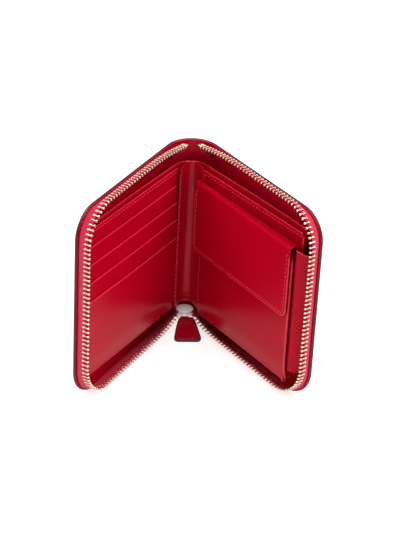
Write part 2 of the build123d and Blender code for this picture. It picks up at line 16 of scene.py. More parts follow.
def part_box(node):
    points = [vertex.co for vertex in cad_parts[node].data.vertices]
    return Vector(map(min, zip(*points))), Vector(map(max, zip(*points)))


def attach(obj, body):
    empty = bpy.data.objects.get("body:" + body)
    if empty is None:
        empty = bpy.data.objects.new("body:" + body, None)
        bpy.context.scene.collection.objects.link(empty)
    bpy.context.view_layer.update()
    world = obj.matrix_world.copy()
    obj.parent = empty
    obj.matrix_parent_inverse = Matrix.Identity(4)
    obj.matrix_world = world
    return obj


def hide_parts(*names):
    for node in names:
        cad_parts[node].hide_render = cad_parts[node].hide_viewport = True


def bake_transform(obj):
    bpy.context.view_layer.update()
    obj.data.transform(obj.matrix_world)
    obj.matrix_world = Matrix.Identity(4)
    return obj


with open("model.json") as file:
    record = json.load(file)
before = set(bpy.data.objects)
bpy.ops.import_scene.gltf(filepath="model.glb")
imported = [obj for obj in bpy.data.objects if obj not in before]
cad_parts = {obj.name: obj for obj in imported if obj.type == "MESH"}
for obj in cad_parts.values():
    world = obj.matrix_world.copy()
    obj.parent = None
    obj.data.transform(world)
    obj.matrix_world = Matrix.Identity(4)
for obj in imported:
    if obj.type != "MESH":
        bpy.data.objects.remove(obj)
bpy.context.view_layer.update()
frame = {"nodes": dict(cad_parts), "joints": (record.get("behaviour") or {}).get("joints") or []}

MM = 0.001
RIGHT, LEFT = 1, -1
SIDE_NAMES = {RIGHT: "right", LEFT: "left"}

# ---- the halves' coordinates, from the frame's joints ----
JOINTS = {joint["name"]: joint for joint in frame["joints"]}
HINGE = np.array(JOINTS["right_half_hinge"]["pos_m"]) / MM
OPENING = radians(JOINTS["right_half_hinge"]["range_deg"][1])
OUT = np.array([sin(OPENING), -cos(OPENING), 0.0])
IN = np.array([-cos(OPENING), -sin(OPENING), 0.0])
UP = np.array([0.0, 0.0, 1.0])
HINGE_N = 1.0
CORNER = HINGE - HINGE_N * IN
SPINE_RADIUS = CORNER[0] / cos(OPENING)
SPINE_CENTRE = np.array([0.0, CORNER[1] - SPINE_RADIUS * sin(OPENING), 0.0])
ARCH = SPINE_RADIUS * (pi / 2 - OPENING)
BEND = 3.0  # reach each side of the hinge line that bend_over_hinge works out; nothing uses it further


def place(u, z, n):
    """Points of the shared frame from places on the right half, all in millimetres."""
    u, z, n = (np.asarray(value, float)[..., None] for value in np.broadcast_arrays(u, z, n))
    return CORNER + u * OUT + n * IN + z * UP


def wrap(s, z, n):
    """Points at s along the outer face, from the middle of the spine round its arch and along the half."""
    s, z, n = (np.asarray(value, float)[..., None] for value in np.broadcast_arrays(s, z, n))
    angle = np.minimum(s, ARCH) / SPINE_RADIUS
    ray = np.concatenate([np.sin(angle), np.cos(angle), np.zeros_like(angle)], axis=-1)
    return SPINE_CENTRE + (SPINE_RADIUS - n) * ray + np.maximum(s - ARCH, 0) * OUT + z * UP


def span(node, side=RIGHT):
    """Lowest and highest (u, z, n) of a CAD node, in millimetres."""
    points = np.array([v.co for v in frame["nodes"][node].data.vertices]) / MM * (side, 1, 1) - CORNER
    local = np.stack([points @ OUT, points @ UP, points @ IN], axis=1)
    return local.min(axis=0), local.max(axis=0)


def node_box(node):
    """Lowest and highest corner of a CAD node, in millimetres."""
    low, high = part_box(node)
    return np.array(low) / MM, np.array(high) / MM


HALF_LENGTH, COVER_HEIGHT, _ = span("right_cover")[1]
TOP_CORNER = 15.0
BOTTOM_CORNER = 19.0
SPINE_FOOT_LIFT = 1.1  # the bottom edge rises off the table in the middle of the spine


# ---- shape helpers ----
def unit(vectors):
    return vectors / np.maximum(np.linalg.norm(vectors, axis=-1, keepdims=True), 1e-9)


def steps(start, end, step, margin=0.6):
    """Places from start to end about step apart, with one more close to each end to keep the edge crisp."""
    count = max(2, round((end - start) / step) + 1)
    return np.concatenate([[start], np.linspace(start + margin, end - margin, count), [end]])


def hump(x, middle, width):
    """A smooth bump of height 1."""
    return np.exp(-(((x - middle) / width) ** 2))


def ease(x, start, end):
    """0 before start and 1 after end, smooth between."""
    t = np.clip((x - start) / (end - start), 0, 1)
    return t * t * (3 - 2 * t)


def round_corner(x, y, corner, radius):
    """Pulls the square corner of a grid in to a round one. corner is (x, y, way in x, way in y)."""
    corner_x, corner_y, way_x, way_y = corner
    across = (x - corner_x) * way_x / radius + 1
    up = (y - corner_y) * way_y / radius + 1
    inside = (across > 0) & (up > 0)
    reach = np.maximum(np.hypot(across, up), 1e-9)
    pull = np.where(inside, np.maximum(across, up) / reach, 1)
    new_x = np.where(inside, corner_x + way_x * radius * (across * pull - 1), x)
    new_y = np.where(inside, corner_y + way_y * radius * (up * pull - 1), y)
    return new_x, new_y


def grid_faces(rows, cols, closed=False):
    """Quads of a grid of points, joined round the columns where closed."""
    number = np.arange(rows * cols).reshape(rows, cols)
    if closed:
        number = np.concatenate([number, number[:, :1]], axis=1)
    quads = np.stack([number[:-1, :-1], number[:-1, 1:], number[1:, 1:], number[1:, :-1]], axis=-1)
    return quads.reshape(-1, 4)


class Shape:
    """The points and faces of one piece, in millimetres. flat is each point's place on the flat material."""

    def __init__(self):
        self.points, self.flat, self.faces, self.finish = [], [], [], []

    def add(self, points, faces, finish=0, flat=None):
        start = sum(len(block) for block in self.points)
        self.points.append(points)
        self.flat.append(points if flat is None else flat)
        self.faces += [tuple(start + index for index in face) for face in faces]
        self.finish += [finish] * len(faces)

    def add_sheet(self, middle, thickness, finish=0, rim=0, cut_start=False, flat=None):
        """A sheet round a grid of middle points, with a rounded rim. A cut start has no rim of its own."""
        half = thickness / 2
        rows, cols = middle.shape[:2]
        normal = unit(np.cross(np.gradient(middle, axis=1), np.gradient(middle, axis=0)))
        loop = (
            [(0, col) for col in range(cols)]
            + [(row, cols - 1) for row in range(1, rows)]
            + [(rows - 1, col) for col in range(cols - 2, -1, -1)]
            + [(row, 0) for row in range(rows - 2, 0, -1)]
        )
        row, col = np.array(loop).T
        edge = middle[row, col]
        heading = np.roll(edge, -1, axis=0) - np.roll(edge, 1, axis=0)
        if cut_start:
            heading[0] = middle[0, 1] - middle[0, 0]
            heading[(row == rows - 1) & (col == 0)] = middle[-1, 0] - middle[-1, 1]
        outward = np.cross(unit(heading), normal[row, col])
        if cut_start:
            outward[(col == 0) & (row > 0) & (row < rows - 1)] = 0
        inner = middle.copy()
        inner[row, col] -= outward * half
        turns = np.radians([90, 50, 0, -50, -90])[:, None, None]
        rings = inner[row, col] + outward * half * np.cos(turns) + normal[row, col] * half * np.sin(turns)
        if flat is None:
            across = np.linalg.norm(np.diff(middle[rows // 2], axis=0), axis=1)
            along = np.linalg.norm(np.diff(middle[:, cols // 2], axis=0), axis=1)
            x = np.concatenate([[0], np.cumsum(across)])[None, :].repeat(rows, axis=0)
            y = np.concatenate([[0], np.cumsum(along)])[:, None].repeat(cols, axis=1)
            flat = np.stack([x, y, np.zeros_like(x)], axis=-1)
        quads = grid_faces(rows, cols)
        self.add((inner + normal * half).reshape(-1, 3), quads, finish, flat.reshape(-1, 3))
        self.add((inner - normal * half).reshape(-1, 3), quads[:, ::-1], finish, flat.reshape(-1, 3))
        rim_flat = np.tile(flat[row, col], (len(turns), 1))
        self.add(rings.reshape(-1, 3), grid_faces(len(turns), len(loop), closed=True)[:, ::-1], rim, rim_flat)

    def add_stitches(self, line, proud, finish, pitch=2.4, length=1.6, radius=0.2):
        """A row of thread stitches along a line, half sunk into the face that proud points out of."""
        piece = np.linalg.norm(np.diff(line, axis=0), axis=1)
        reach = np.concatenate([[0], np.cumsum(piece)])
        count = max(1, int(reach[-1] / pitch))
        at = (np.arange(count) + 0.5) * reach[-1] / count

        def along(where):
            return np.stack([np.interp(where, reach, line[:, axis]) for axis in range(3)], axis=-1)

        proud = np.broadcast_to(np.asarray(proud, float), line.shape)
        lift = unit(np.stack([np.interp(at, reach, proud[:, axis]) for axis in range(3)], axis=-1))
        heading = unit(along(at + length / 2) - along(at - length / 2))
        across = np.cross(lift, heading)
        share = np.array([-1, -0.75, 0, 0.75, 1])
        thick = np.array([0.25, 0.8, 1, 0.8, 0.25]) * radius
        turn = np.arange(6) * pi / 3
        ring_faces = [*grid_faces(len(share), len(turn), closed=True), range(6)[::-1], range(24, 30)]
        for spot, way, side, rise in zip(along(at), heading, across, lift):
            ring = np.cos(turn)[:, None] * side + np.sin(turn)[:, None] * rise
            points = spot + share[:, None, None] * way * length / 2 + thick[:, None, None] * ring
            self.add(points.reshape(-1, 3), ring_faces, finish)

    def add_bead(self, line, radius, finish=0):
        """A round turned edge along a line of points, closed at both ends."""
        heading = unit(np.gradient(line, axis=0))
        reference = IN if (abs(heading[:, 2]) > 0.9).any() else UP
        side = unit(np.cross(heading, reference))
        rise = np.cross(side, heading)
        turn = (np.arange(8) * pi / 4)[None, :, None]
        thick = np.full(len(line), radius)
        thick[[0, -1]] *= 0.4
        ways = np.cos(turn) * side[:, None] + np.sin(turn) * rise[:, None]
        rings = line[:, None] + thick[:, None, None] * ways
        count = len(line)
        faces = [*grid_faces(count, 8, closed=True), range(8)[::-1], range(8 * count - 8, 8 * count)]
        self.add(rings.reshape(-1, 3), faces, finish)

    def add_prism(self, outline, low, high, bevel, dome=0.0):
        """An upright solid over an anticlockwise outline, with bevelled edges and an optional domed top."""
        outline = np.asarray(outline, float)
        heading = unit(np.roll(outline, -1, axis=0) - np.roll(outline, 1, axis=0))
        outward = np.stack([heading[:, 1], -heading[:, 0]], axis=1)
        count = len(outline)
        soft = bevel * (1 - cos(pi / 4))
        levels = [(bevel, low), (soft, low + soft), (0, low + bevel), (0, high - bevel), (soft, high - soft)]
        levels.append((bevel, high))
        rings = [
            np.column_stack([outline - outward * inset, np.full(count, level)]) for inset, level in levels
        ]
        middle = outline.mean(axis=0)
        top = rings[-1]
        for share in (0.8, 0.5, 0.2):
            ring = top.copy()
            ring[:, :2] = middle + (top[:, :2] - middle) * share
            ring[:, 2] = high + dome * (1 - share**2)
            rings.append(ring)
        side = grid_faces(len(levels), count, closed=True)
        self.add(np.concatenate(rings[: len(levels)]), side)
        cap = np.concatenate(rings[len(levels) - 1 :])
        self.add(cap, [*grid_faces(4, count, closed=True), range(3 * count, 4 * count)])
        self.add(rings[0], [range(count)[::-1]])

    def build(self, name, side, materials):
        """Makes the mesh object, mirrored for the left side."""
        points = np.concatenate(self.points) * (side * MM, MM, MM)
        faces = [tuple(int(i) for i in (face if side > 0 else face[::-1])) for face in self.faces]
        mesh = bpy.data.meshes.new(name)
        mesh.from_pydata(points.tolist(), [], faces)
        mesh.polygons.foreach_set("material_index", self.finish)
        mesh.polygons.foreach_set("use_smooth", [True] * len(faces))
        flat = mesh.attributes.new("flat", "FLOAT_VECTOR", "POINT")
        flat.data.foreach_set("vector", np.concatenate(self.flat).astype(np.float32).ravel())
        for material in materials:
            mesh.materials.append(material)
        piece = bpy.data.objects.new(name, mesh)
        bpy.context.scene.collection.objects.link(piece)
        return piece


# ---- materials ----
class Nodes:
    """A new material with its Principled shader and a short way to add nodes."""

    def __init__(self, name):
        self.material = bpy.data.materials.new(name)
        self.material.use_nodes = True
        self.tree = self.material.node_tree
        self.shader = self.tree.nodes["Principled BSDF"]

    def add(self, kind, links=(), **values):
        """Adds a node. Values name its sockets or properties; links are (socket, output of another node)."""
        node = self.tree.nodes.new(kind)
        for key, value in values.items():
            if key in node.inputs:
                node.inputs[key].default_value = value
            else:
                setattr(node, key, value)
        for socket, output in links:
            self.tree.links.new(output, node.inputs[socket])
        return node

    def flat(self, scale):
        """Places on the flat material, in millimetres, stretched by scale."""
        place_node = self.add("ShaderNodeAttribute", attribute_name="flat")
        links = [("Vector", place_node.outputs["Vector"])]
        return self.add("ShaderNodeMapping", links, Scale=scale).outputs[0]

    def noise(self, where, scale, detail=3.0, roughness=0.55):
        node = self.add(
            "ShaderNodeTexNoise", [("Vector", where)], Scale=scale, Detail=detail, Roughness=roughness
        )
        return node.outputs["Fac"]

    def ramp(self, value, low, high):
        """Maps 0..1 to low..high."""
        node = self.add("ShaderNodeMapRange", [("Value", value)])
        node.inputs["To Min"].default_value = low
        node.inputs["To Max"].default_value = high
        return node.outputs["Result"]

    def mix(self, share, first, second):
        """A colour between two."""
        node = self.add("ShaderNodeMix", data_type="RGBA")
        self.tree.links.new(share, node.inputs["Factor"])
        for socket, colour in ((node.inputs[6], first), (node.inputs[7], second)):
            if isinstance(colour, tuple):
                socket.default_value = (*colour, 1)
            else:
                self.tree.links.new(colour, socket)
        return node.outputs[2]

    def bump(self, height, strength, distance, under=None):
        node = self.add("ShaderNodeBump", [("Height", height)], Strength=strength, Distance=distance * MM)
        if under is not None:
            self.tree.links.new(under, node.inputs["Normal"])
        return node.outputs["Normal"]

    def finish(self, colour=None, roughness=None, normal=None, **constants):
        """Links the shader's colour, roughness and normal, and sets its other sockets."""
        for socket, output in (("Base Color", colour), ("Roughness", roughness), ("Normal", normal)):
            if output is not None:
                self.tree.links.new(output, self.shader.inputs[socket])
        for key, value in constants.items():
            self.shader.inputs[key.replace("_", " ")].default_value = value
        return self.material


def leather(name, colour, deep, gloss, creases=0.25, coat=0.05):
    """Smooth glazed leather: fine pores, faint creases, cloudy dye and slightly uneven gloss."""
    nodes = Nodes(name)
    where = nodes.flat((1, 1, 1))
    cloud = nodes.noise(where, 0.06, 4)
    dye = nodes.mix(nodes.ramp(cloud, 0.1, 0.9), deep, colour)
    pores = nodes.noise(where, 3.2, 2, 0.6)
    crease = nodes.noise(nodes.flat((0.16, 0.5, 1)), 1, 4, 0.5)
    grain = nodes.bump(pores, 0.08, 0.03)
    normal = nodes.bump(crease, creases, 0.05, grain)
    rough = nodes.ramp(nodes.noise(where, 0.3, 3), gloss - 0.05, gloss + 0.07)
    return nodes.finish(dye, rough, normal, Coat_Weight=coat, Coat_Roughness=0.2, Specular_IOR_Level=0.045)


def painted_edge():
    """The dark sealed edge of cut leather."""
    nodes = Nodes("edge_paint")
    where = nodes.flat((1, 1, 1))
    colour = nodes.mix(nodes.noise(where, 0.8), (0.012, 0.006, 0.008), (0.045, 0.02, 0.022))
    normal = nodes.bump(nodes.noise(where, 2.5), 0.3, 0.08)
    return nodes.finish(colour, nodes.ramp(nodes.noise(where, 0.9), 0.32, 0.5), normal)


def woven_tape():
    """Herringbone ribs across the zip tape with a soft sheen."""
    nodes = Nodes("zip_tape")
    ribs = nodes.add(
        "ShaderNodeTexWave",
        [("Vector", nodes.flat((1, 0.55, 0)))],
        wave_type="BANDS",
        bands_direction="DIAGONAL",
        Scale=0.95,
        Distortion=0.25,
    ).outputs["Fac"]
    threads = nodes.add(
        "ShaderNodeTexWave",
        [("Vector", nodes.flat((0, 1, 0)))],
        wave_type="BANDS",
        bands_direction="Y",
        Scale=0.9,
        Distortion=0.4,
    ).outputs["Fac"]
    fuzz = nodes.noise(nodes.flat((1, 1, 1)), 4.0, 2)
    colour = nodes.mix(ribs, (0.32, 0.001, 0.022), (0.62, 0.01, 0.055))
    colour = nodes.mix(nodes.ramp(fuzz, 0, 0.25), colour, (0.7, 0.04, 0.1))
    normal = nodes.bump(threads, 0.3, 0.08, nodes.bump(ribs, 0.6, 0.15))
    rough = nodes.ramp(fuzz, 0.6, 0.85)
    sheen = {"Sheen_Weight": 0.06, "Sheen_Roughness": 0.4}
    return nodes.finish(colour, rough, normal, Specular_IOR_Level=0.2, **sheen)


def metal(name, colour, shadow, rough, scale, metallic=1.0, painted_glow=0.0):
    """Plated metal: faint brushing, tarnish clouds and uneven polish. Its faint white emission is painted
    light that lifts it in shade.
    """
    nodes = Nodes(name)
    where = nodes.add("ShaderNodeTexCoord").outputs["Object"]
    cloud = nodes.noise(where, scale, 4)
    brushed = nodes.add("ShaderNodeMapping", [("Vector", where)], Scale=(9000, 900, 900)).outputs[0]
    lines = nodes.noise(brushed, 1, 2)
    normal = nodes.bump(lines, 0.12, 0.02)
    tint = nodes.mix(cloud, shadow, colour)
    polish = nodes.ramp(cloud, rough - 0.06, rough + 0.08)
    return nodes.finish(
        tint, polish, normal, Metallic=metallic, Emission_Color=(1.0, 0.95, 0.95, 1.0), Emission_Strength=painted_glow
    )


def thread(name, colour, shade):
    """Waxed sewing thread with its twist."""
    nodes = Nodes(name)
    where = nodes.flat((1, 1, 1))
    twist = nodes.add(
        "ShaderNodeTexWave", [("Vector", where)], bands_direction="DIAGONAL", Scale=2.2, Distortion=0.6
    ).outputs["Fac"]
    return nodes.finish(
        nodes.mix(twist, shade, colour), nodes.ramp(twist, 0.45, 0.6), nodes.bump(twist, 0.4, 0.05)
    )


def board():
    """Hidden fibre board."""
    nodes = Nodes("stiffener_board")
    fibres = nodes.noise(nodes.add("ShaderNodeTexCoord").outputs["Object"], 900, 4)
    colour = nodes.mix(fibres, (0.5, 0.46, 0.38), (0.66, 0.62, 0.54))
    return nodes.finish(colour, nodes.ramp(fibres, 0.75, 0.9), nodes.bump(fibres, 0.3, 0.05))


RED = (0.4, 0.0, 0.011)
DEEP_RED = (0.29, 0.0, 0.009)
COVER_LEATHER = leather("cover_leather", RED, DEEP_RED, 0.34)
LINING_LEATHER = leather("lining_leather", (0.38, 0.0, 0.014), DEEP_RED, 0.33)
BOOKLET_LEATHER = leather("booklet_leather", RED, DEEP_RED, 0.24)
# The spine strip is the booklet's leather in a lighter red: a painted highlight. Its stronger coat is real
# gloss.
STRIP_LEATHER_PAINTED_HIGHLIGHT = leather("strip_leather_painted_highlight", (0.46, 0.003, 0.018), RED, 0.3, coat=0.2)
FLAP_LEATHER = leather("flap_leather", (0.4, 0.0, 0.012), (0.35, 0.0, 0.01), 0.36)
PULL_LEATHER = leather("pull_leather", (0.42, 0.0, 0.014), (0.34, 0.0, 0.01), 0.36)
# The beads' leather is a lighter red than the leaves it edges: a painted highlight along the turned edges.
# Its glossier coat and lower roughness are real.
TURNED_EDGE_PAINTED_HIGHLIGHT = leather("turned_edge_painted_highlight", (0.62, 0.012, 0.035), (0.5, 0.004, 0.022), 0.22, coat=0.5)
EDGE_PAINT = painted_edge()
TAPE = woven_tape()
THREAD = thread("red_thread", (0.8, 0.05, 0.09), (0.5, 0.008, 0.03))
GOLD = metal("zip_teeth", (0.84, 0.74, 0.6), (0.55, 0.43, 0.3), 0.26, 500)
# This metal glows faintly though it is no lamp: painted light that brightens the slider in the shade under
# the spine strip. The ring, crown and magnets share it.
NICKEL_PAINTED_GLOW = metal("slider_metal", (0.9, 0.84, 0.84), (0.8, 0.72, 0.74), 0.42, 300, metallic=0.2, painted_glow=0.14)
BOARD = board()


def ride_half(piece, side):
    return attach(piece, f"{SIDE_NAMES[side]}_half")


def bend_over_hinge(piece, side):
    """Bakes a piece's placement into its mesh; the ends of a blend from the spine to its half are worked out
    but not used.
    """
    start, end = (place(reach, 0, HINGE_N) * (side * MM, MM, MM) for reach in (-BEND, BEND))
    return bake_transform(piece)


def sew_in(piece, side, points, rests_on, *nodes):
    """A leaf of the booklet: it stands for CAD nodes and rides its half."""
    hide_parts(*nodes)
    ride_half(piece, side)


# ---- covers and linings ----
LINING_INSET = 0.15


def make_cover(side):
    """Outer leather and lining, from the middle of the spine round to the outer edge of one half."""
    name = SIDE_NAMES[side]
    length = ARCH + HALF_LENGTH
    s_places = np.concatenate([[0, 0.1], np.linspace(1.2, ARCH + 4, 18), steps(ARCH + 6, length, 2)])
    z_places = steps(0, COVER_HEIGHT, 2)
    for kind, finish, inset in (("cover", COVER_LEATHER, 0), ("lining", LINING_LEATHER, LINING_INSET)):
        low, high = span(f"right_{kind}")
        s, z = np.meshgrid(s_places, z_places)
        s = np.minimum(s, length - inset)
        z = np.clip(z, inset, COVER_HEIGHT - inset)
        s, z = round_corner(s, z, (length - inset, COVER_HEIGHT - inset, 1, 1), TOP_CORNER - inset)
        s, z = round_corner(s, z, (length - inset, inset, 1, -1), BOTTOM_CORNER - inset)
        z = z + SPINE_FOOT_LIFT * hump(s, 0, ARCH / 2) * (1 - z / COVER_HEIGHT) ** 4
        shape = Shape()
        flat = np.stack([s, z, np.zeros_like(s)], axis=-1)
        shape.add_sheet(
            wrap(s, z, (low[2] + high[2]) / 2),
            high[2] - low[2],
            rim=1,
            cut_start=True,
            flat=flat,
        )
        materials = [finish, EDGE_PAINT if kind == "cover" else finish]
        piece = shape.build(f"{name}_{kind}_leather", side, materials)
        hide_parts(f"{name}_{kind}", f"spine_{kind}")
        bend_over_hinge(piece, side)


# ---- zip ----
TEETH_LOW, TEETH_HIGH = span("right_zip_teeth")
TOOTH_THICKNESS = 1.3
CHAIN_SIDE = TEETH_HIGH[0] - TOOTH_THICKNESS / 2
CHAIN_BOTTOM = TEETH_LOW[1] + TOOTH_THICKNESS / 2
CHAIN_TOP = TEETH_HIGH[1] - TOOTH_THICKNESS / 2
TOOTH_ROOT = TEETH_LOW[2]
TOOTH_PITCH = 2.5
CHAIN_TOP_CORNER = 20.0
CHAIN_BOTTOM_CORNER = 22.0
CHAIN_START = 4.2 - TOOTH_PITCH
CHAIN_END = 0.6
# The rows bend away from their straight run at the spine: the u where that starts, and how fast they bend.
BOTTOM_CURL = (22.0, 0.0075)
TOP_CURL = (35.0, 0.003)
TAPE_INSET = 1.5
TAPE_THICKNESS = 0.7
TAPE_EDGE_N = TOOTH_ROOT + 1.4
TAPE_LEAD = 1.0  # the tape starts this far before the first tooth
TAPE_SAG = 1.6  # how far the wall's middle bows towards the lining
TAPE_TUCK = 1.6  # radius of the tape's turned end past the last tooth
TAPE_MEETING = 0.4  # half the gap between the two tapes where they enter the slider
TAPE_IN_SLIDER = 0.9
TAPE_SHOWN = 8.6


def loop_places(side_u, low, high, bottom_radius, top_radius, start, end, counts):
    """Places (u, z) and outward ways round the open loop of the zip: bottom, corner, side, corner, top."""
    bottom, corner, upright, top = counts
    places, ways = [], []

    def straight(first, last, way, count):
        for share in np.linspace(0, 1, count, endpoint=False):
            places.append(first + (last - first) * share)
            ways.append(way)

    def arc(centre, radius, first_angle, count):
        for turn in np.radians(np.linspace(first_angle, first_angle + 90, count, endpoint=False)):
            way = np.array([cos(turn), sin(turn)])
            places.append(centre + radius * way)
            ways.append(way)

    low_centre = np.array([side_u - bottom_radius, low + bottom_radius])
    high_centre = np.array([side_u - top_radius, high - top_radius])
    straight(np.array([start, low]), np.array([low_centre[0], low]), np.array([0.0, -1.0]), bottom)
    arc(low_centre, bottom_radius, -90, corner)
    straight(
        np.array([side_u, low_centre[1]]), np.array([side_u, high_centre[1]]), np.array([1.0, 0.0]), upright
    )
    arc(high_centre, top_radius, 0, corner)
    straight(np.array([high_centre[0], high]), np.array([end, high]), np.array([0.0, 1.0]), top)
    places.append(np.array([end, high]))
    ways.append(np.array([0.0, 1.0]))
    places, ways = np.array(places), np.array(ways)
    ends = ((slice(0, bottom), BOTTOM_CURL, 1), (slice(-top - 1, None), TOP_CURL, -1))
    for run, (calm, rate), sign in ends:
        past = np.maximum(calm - places[run, 0], 0)
        places[run, 1] += sign * rate * past**2
        ways[run] = unit(np.stack([-2 * rate * past, np.full(len(past), -sign)], axis=1))
    return places, ways


def chain_frames():
    """Place (u, z) and outward way of every tooth, evenly spaced along the loop."""
    fine, ways = loop_places(
        CHAIN_SIDE,
        CHAIN_BOTTOM,
        CHAIN_TOP,
        CHAIN_BOTTOM_CORNER,
        CHAIN_TOP_CORNER,
        CHAIN_START,
        CHAIN_END,
        (60, 120, 60, 60),
    )
    reach = np.concatenate([[0], np.cumsum(np.linalg.norm(np.diff(fine, axis=0), axis=1))])
    at = np.arange(int(reach[-1] / TOOTH_PITCH) + 1) * TOOTH_PITCH
    spots = np.stack([np.interp(at, reach, fine[:, axis]) for axis in (0, 1)], axis=1)
    outs = unit(np.stack([np.interp(at, reach, ways[:, axis]) for axis in (0, 1)], axis=1))
    return spots, outs


# Half of a tooth's side view from its clamp to its head: (half width, height over the root, half thickness).
TOOTH_PROFILE = (
    (0.36, -0.35, 0.5),
    (0.52, -0.1, 0.62),
    (0.54, 0.35, 0.64),
    (0.4, 0.75, 0.52),
    (0.27, 1.1, 0.44),
    (0.26, 1.7, 0.44),
    (0.38, 2.1, 0.48),
    (0.54, 2.5, 0.54),
    (0.56, 3.0, 0.54),
    (0.4, 3.4, 0.46),
    (0.12, 3.34, 0.44),
)


def add_tooth(shape, spot, outward):
    """One tooth of a metal zip: a clamp on the tape, a waist and a broad head, all with soft edges."""
    heading = np.cross(IN, outward)
    profile = np.array(TOOTH_PROFILE)
    width = np.concatenate([profile[:, 0], -profile[::-1, 0]])
    height = np.concatenate([profile[:, 1], profile[::-1, 1]])
    thick = np.concatenate([profile[:, 2], profile[::-1, 2]])
    middle = height.mean()
    rings = []
    for share, inset in ((-1, 0.8), (-0.8, 1), (0.8, 1), (1, 0.8)):
        across = (width * inset)[:, None] * heading
        along = (middle + (height - middle) * (0.97 if inset < 1 else 1))[:, None] * IN
        rings.append(spot + across + along + (thick * share)[:, None] * outward)
    count = len(width)
    faces = [*grid_faces(4, count, closed=True), range(count)[::-1], range(3 * count, 4 * count)]
    shape.add(np.concatenate(rings), faces)


def make_teeth(side):
    """One half's row of teeth."""
    spots, outs = chain_frames()
    shape = Shape()
    for (u, z), (out_u, out_z) in zip(spots, outs):
        outward = out_u * OUT + out_z * UP
        add_tooth(shape, place(u, z, TOOTH_ROOT), outward)
    piece = shape.build(f"{SIDE_NAMES[side]}_teeth", side, [GOLD])
    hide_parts(f"{SIDE_NAMES[side]}_zip_teeth")
    ride_half(piece, side)


def make_tape(side):
    """The woven wall from the lining to the teeth, from the slider round to its tucked end at the top."""
    counts = (34, 14, 34, 40)
    lining_face = span("right_lining")[1][2]
    base, _ = loop_places(
        HALF_LENGTH - TAPE_INSET,
        TAPE_INSET,
        COVER_HEIGHT - TAPE_INSET,
        BOTTOM_CORNER - TAPE_INSET,
        TOP_CORNER - TAPE_INSET,
        CHAIN_START - TAPE_LEAD,
        CHAIN_END,
        counts,
    )
    edge, _ = loop_places(
        CHAIN_SIDE,
        CHAIN_BOTTOM,
        CHAIN_TOP,
        CHAIN_BOTTOM_CORNER,
        CHAIN_TOP_CORNER,
        CHAIN_START - TAPE_LEAD,
        CHAIN_END,
        counts,
    )
    foot = place(base[:, 0], base[:, 1], lining_face)
    head = place(edge[:, 0], edge[:, 1], TAPE_EDGE_N)
    # from the middle of the spine to the first tooth, the tape lies level and runs into the slider
    lead = np.linspace(0, 1, 9)[:-1]
    slider_low, slider_high = node_box("slider_body")
    middle_z = (slider_low[2] + slider_high[2]) / 2
    lead_s = TAPE_MEETING + lead * (ARCH + base[0, 0] - TAPE_MEETING)
    lead_z = base[0, 1] + (middle_z - base[0, 1]) * (1 - lead)
    lead_foot = wrap(lead_s, lead_z, lining_face)
    back = np.array([TAPE_MEETING, slider_high[1] - TAPE_IN_SLIDER, middle_z])
    lead_head = back + (head[0] - back) * lead[:, None]
    # past the last tooth it turns in and down
    turn = np.radians([25, 50, 75, 90, 90, 90])
    drop = np.array([0, 0, 0, 0, 1.2, 2.4])
    turned_in = np.sin(turn)[:, None] * TAPE_TUCK
    turned_down = (1 - np.cos(turn))[:, None] * TAPE_TUCK + drop[:, None]
    shift = -turned_in * OUT - turned_down * UP
    end_foot = foot[-1] + shift * 0.9 + np.outer(np.sin(turn), -0.3 * IN)
    end_head = head[-1] + shift
    foot = np.concatenate([lead_foot, foot, end_foot])
    head = np.concatenate([lead_head, head, end_head])
    share = np.linspace(0, 1, 9)[:, None, None]
    knee = foot + (head - foot) * (1, 1, 0.92) - TAPE_SAG * IN
    middle = (1 - share) ** 2 * foot + 2 * share * (1 - share) * knee + share**2 * head
    reach = np.concatenate([[0], np.cumsum(np.linalg.norm(np.diff(head, axis=0), axis=1))])
    width = share[:, :, 0] * TAPE_SHOWN
    flat = np.stack(np.broadcast_arrays(reach[None, :], width, 0), axis=-1)
    shape = Shape()
    shape.add_sheet(middle[::-1], TAPE_THICKNESS, flat=flat[::-1])
    piece = shape.build(f"{SIDE_NAMES[side]}_tape", side, [TAPE])
    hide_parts(f"{SIDE_NAMES[side]}_zip_tape", "zip_tail")
    bend_over_hinge(piece, side)


# ---- booklet ----
BOOKLET_TILT = radians(2.65)
BACK_LOW, BACK_HIGH = span("coin_pocket_back")
COIN_BACK_FRONT = BACK_HIGH[2] + BACK_LOW[0] * tan(BOOKLET_TILT)
PANEL_LOW, PANEL_HIGH = span("card_panel", LEFT)
CARD_FRONT = span("card_slot_4", LEFT)[1][2] + PANEL_LOW[0] * tan(BOOKLET_TILT)
LEAF = 0.6  # thickness of a leaf of the booklet
SLOT_LEAF = 0.5
SLOT_INSET = 1.6  # the card leaves start this far from the panel's edge at the spine
LEAF_BEAD = 0.5  # radius of a leaf's turned edge
SLOT_BEAD = 0.45
STITCH_INSET = 2.0
GUSSET_BEAD = 0.42
STRIP_MIDDLE = -7.6  # y of the booklet's leather in the middle of the spine: the front strip
ARCH_MIDDLE = -7.0  # and the arch behind its top


def leaning(front, u):
    """n of a booklet face that meets the hinge line at n = front."""
    return front - u * tan(BOOKLET_TILT)


def panel_points(start, end, bottom, top, front, bow):
    """Grid of a booklet leaf's middle. bow(u, z) moves it inwards."""
    u, z = np.meshgrid(steps(start, end, 2), steps(bottom, top, 2))
    n = leaning(front, u) + bow(u, z)
    return place(u, z, n), np.stack([u, z, np.zeros_like(u)], axis=-1)


def lower_curve(z, bottom, depth):
    """The sewn foot of a booklet leaf draws back towards the cover."""
    return -depth * (1 - ease(z, bottom - 1, bottom + 16)) ** 2


def foot_wrinkles(u, z):
    """Soft creases that fan out from the foot of the spine."""
    near = hump(u, 6, 16) * hump(z, 24, 9)
    fan = z - 16 - 0.32 * u - 0.012 * (u - 8) ** 2
    return 0.3 * near * np.sin(fan * 1.15)


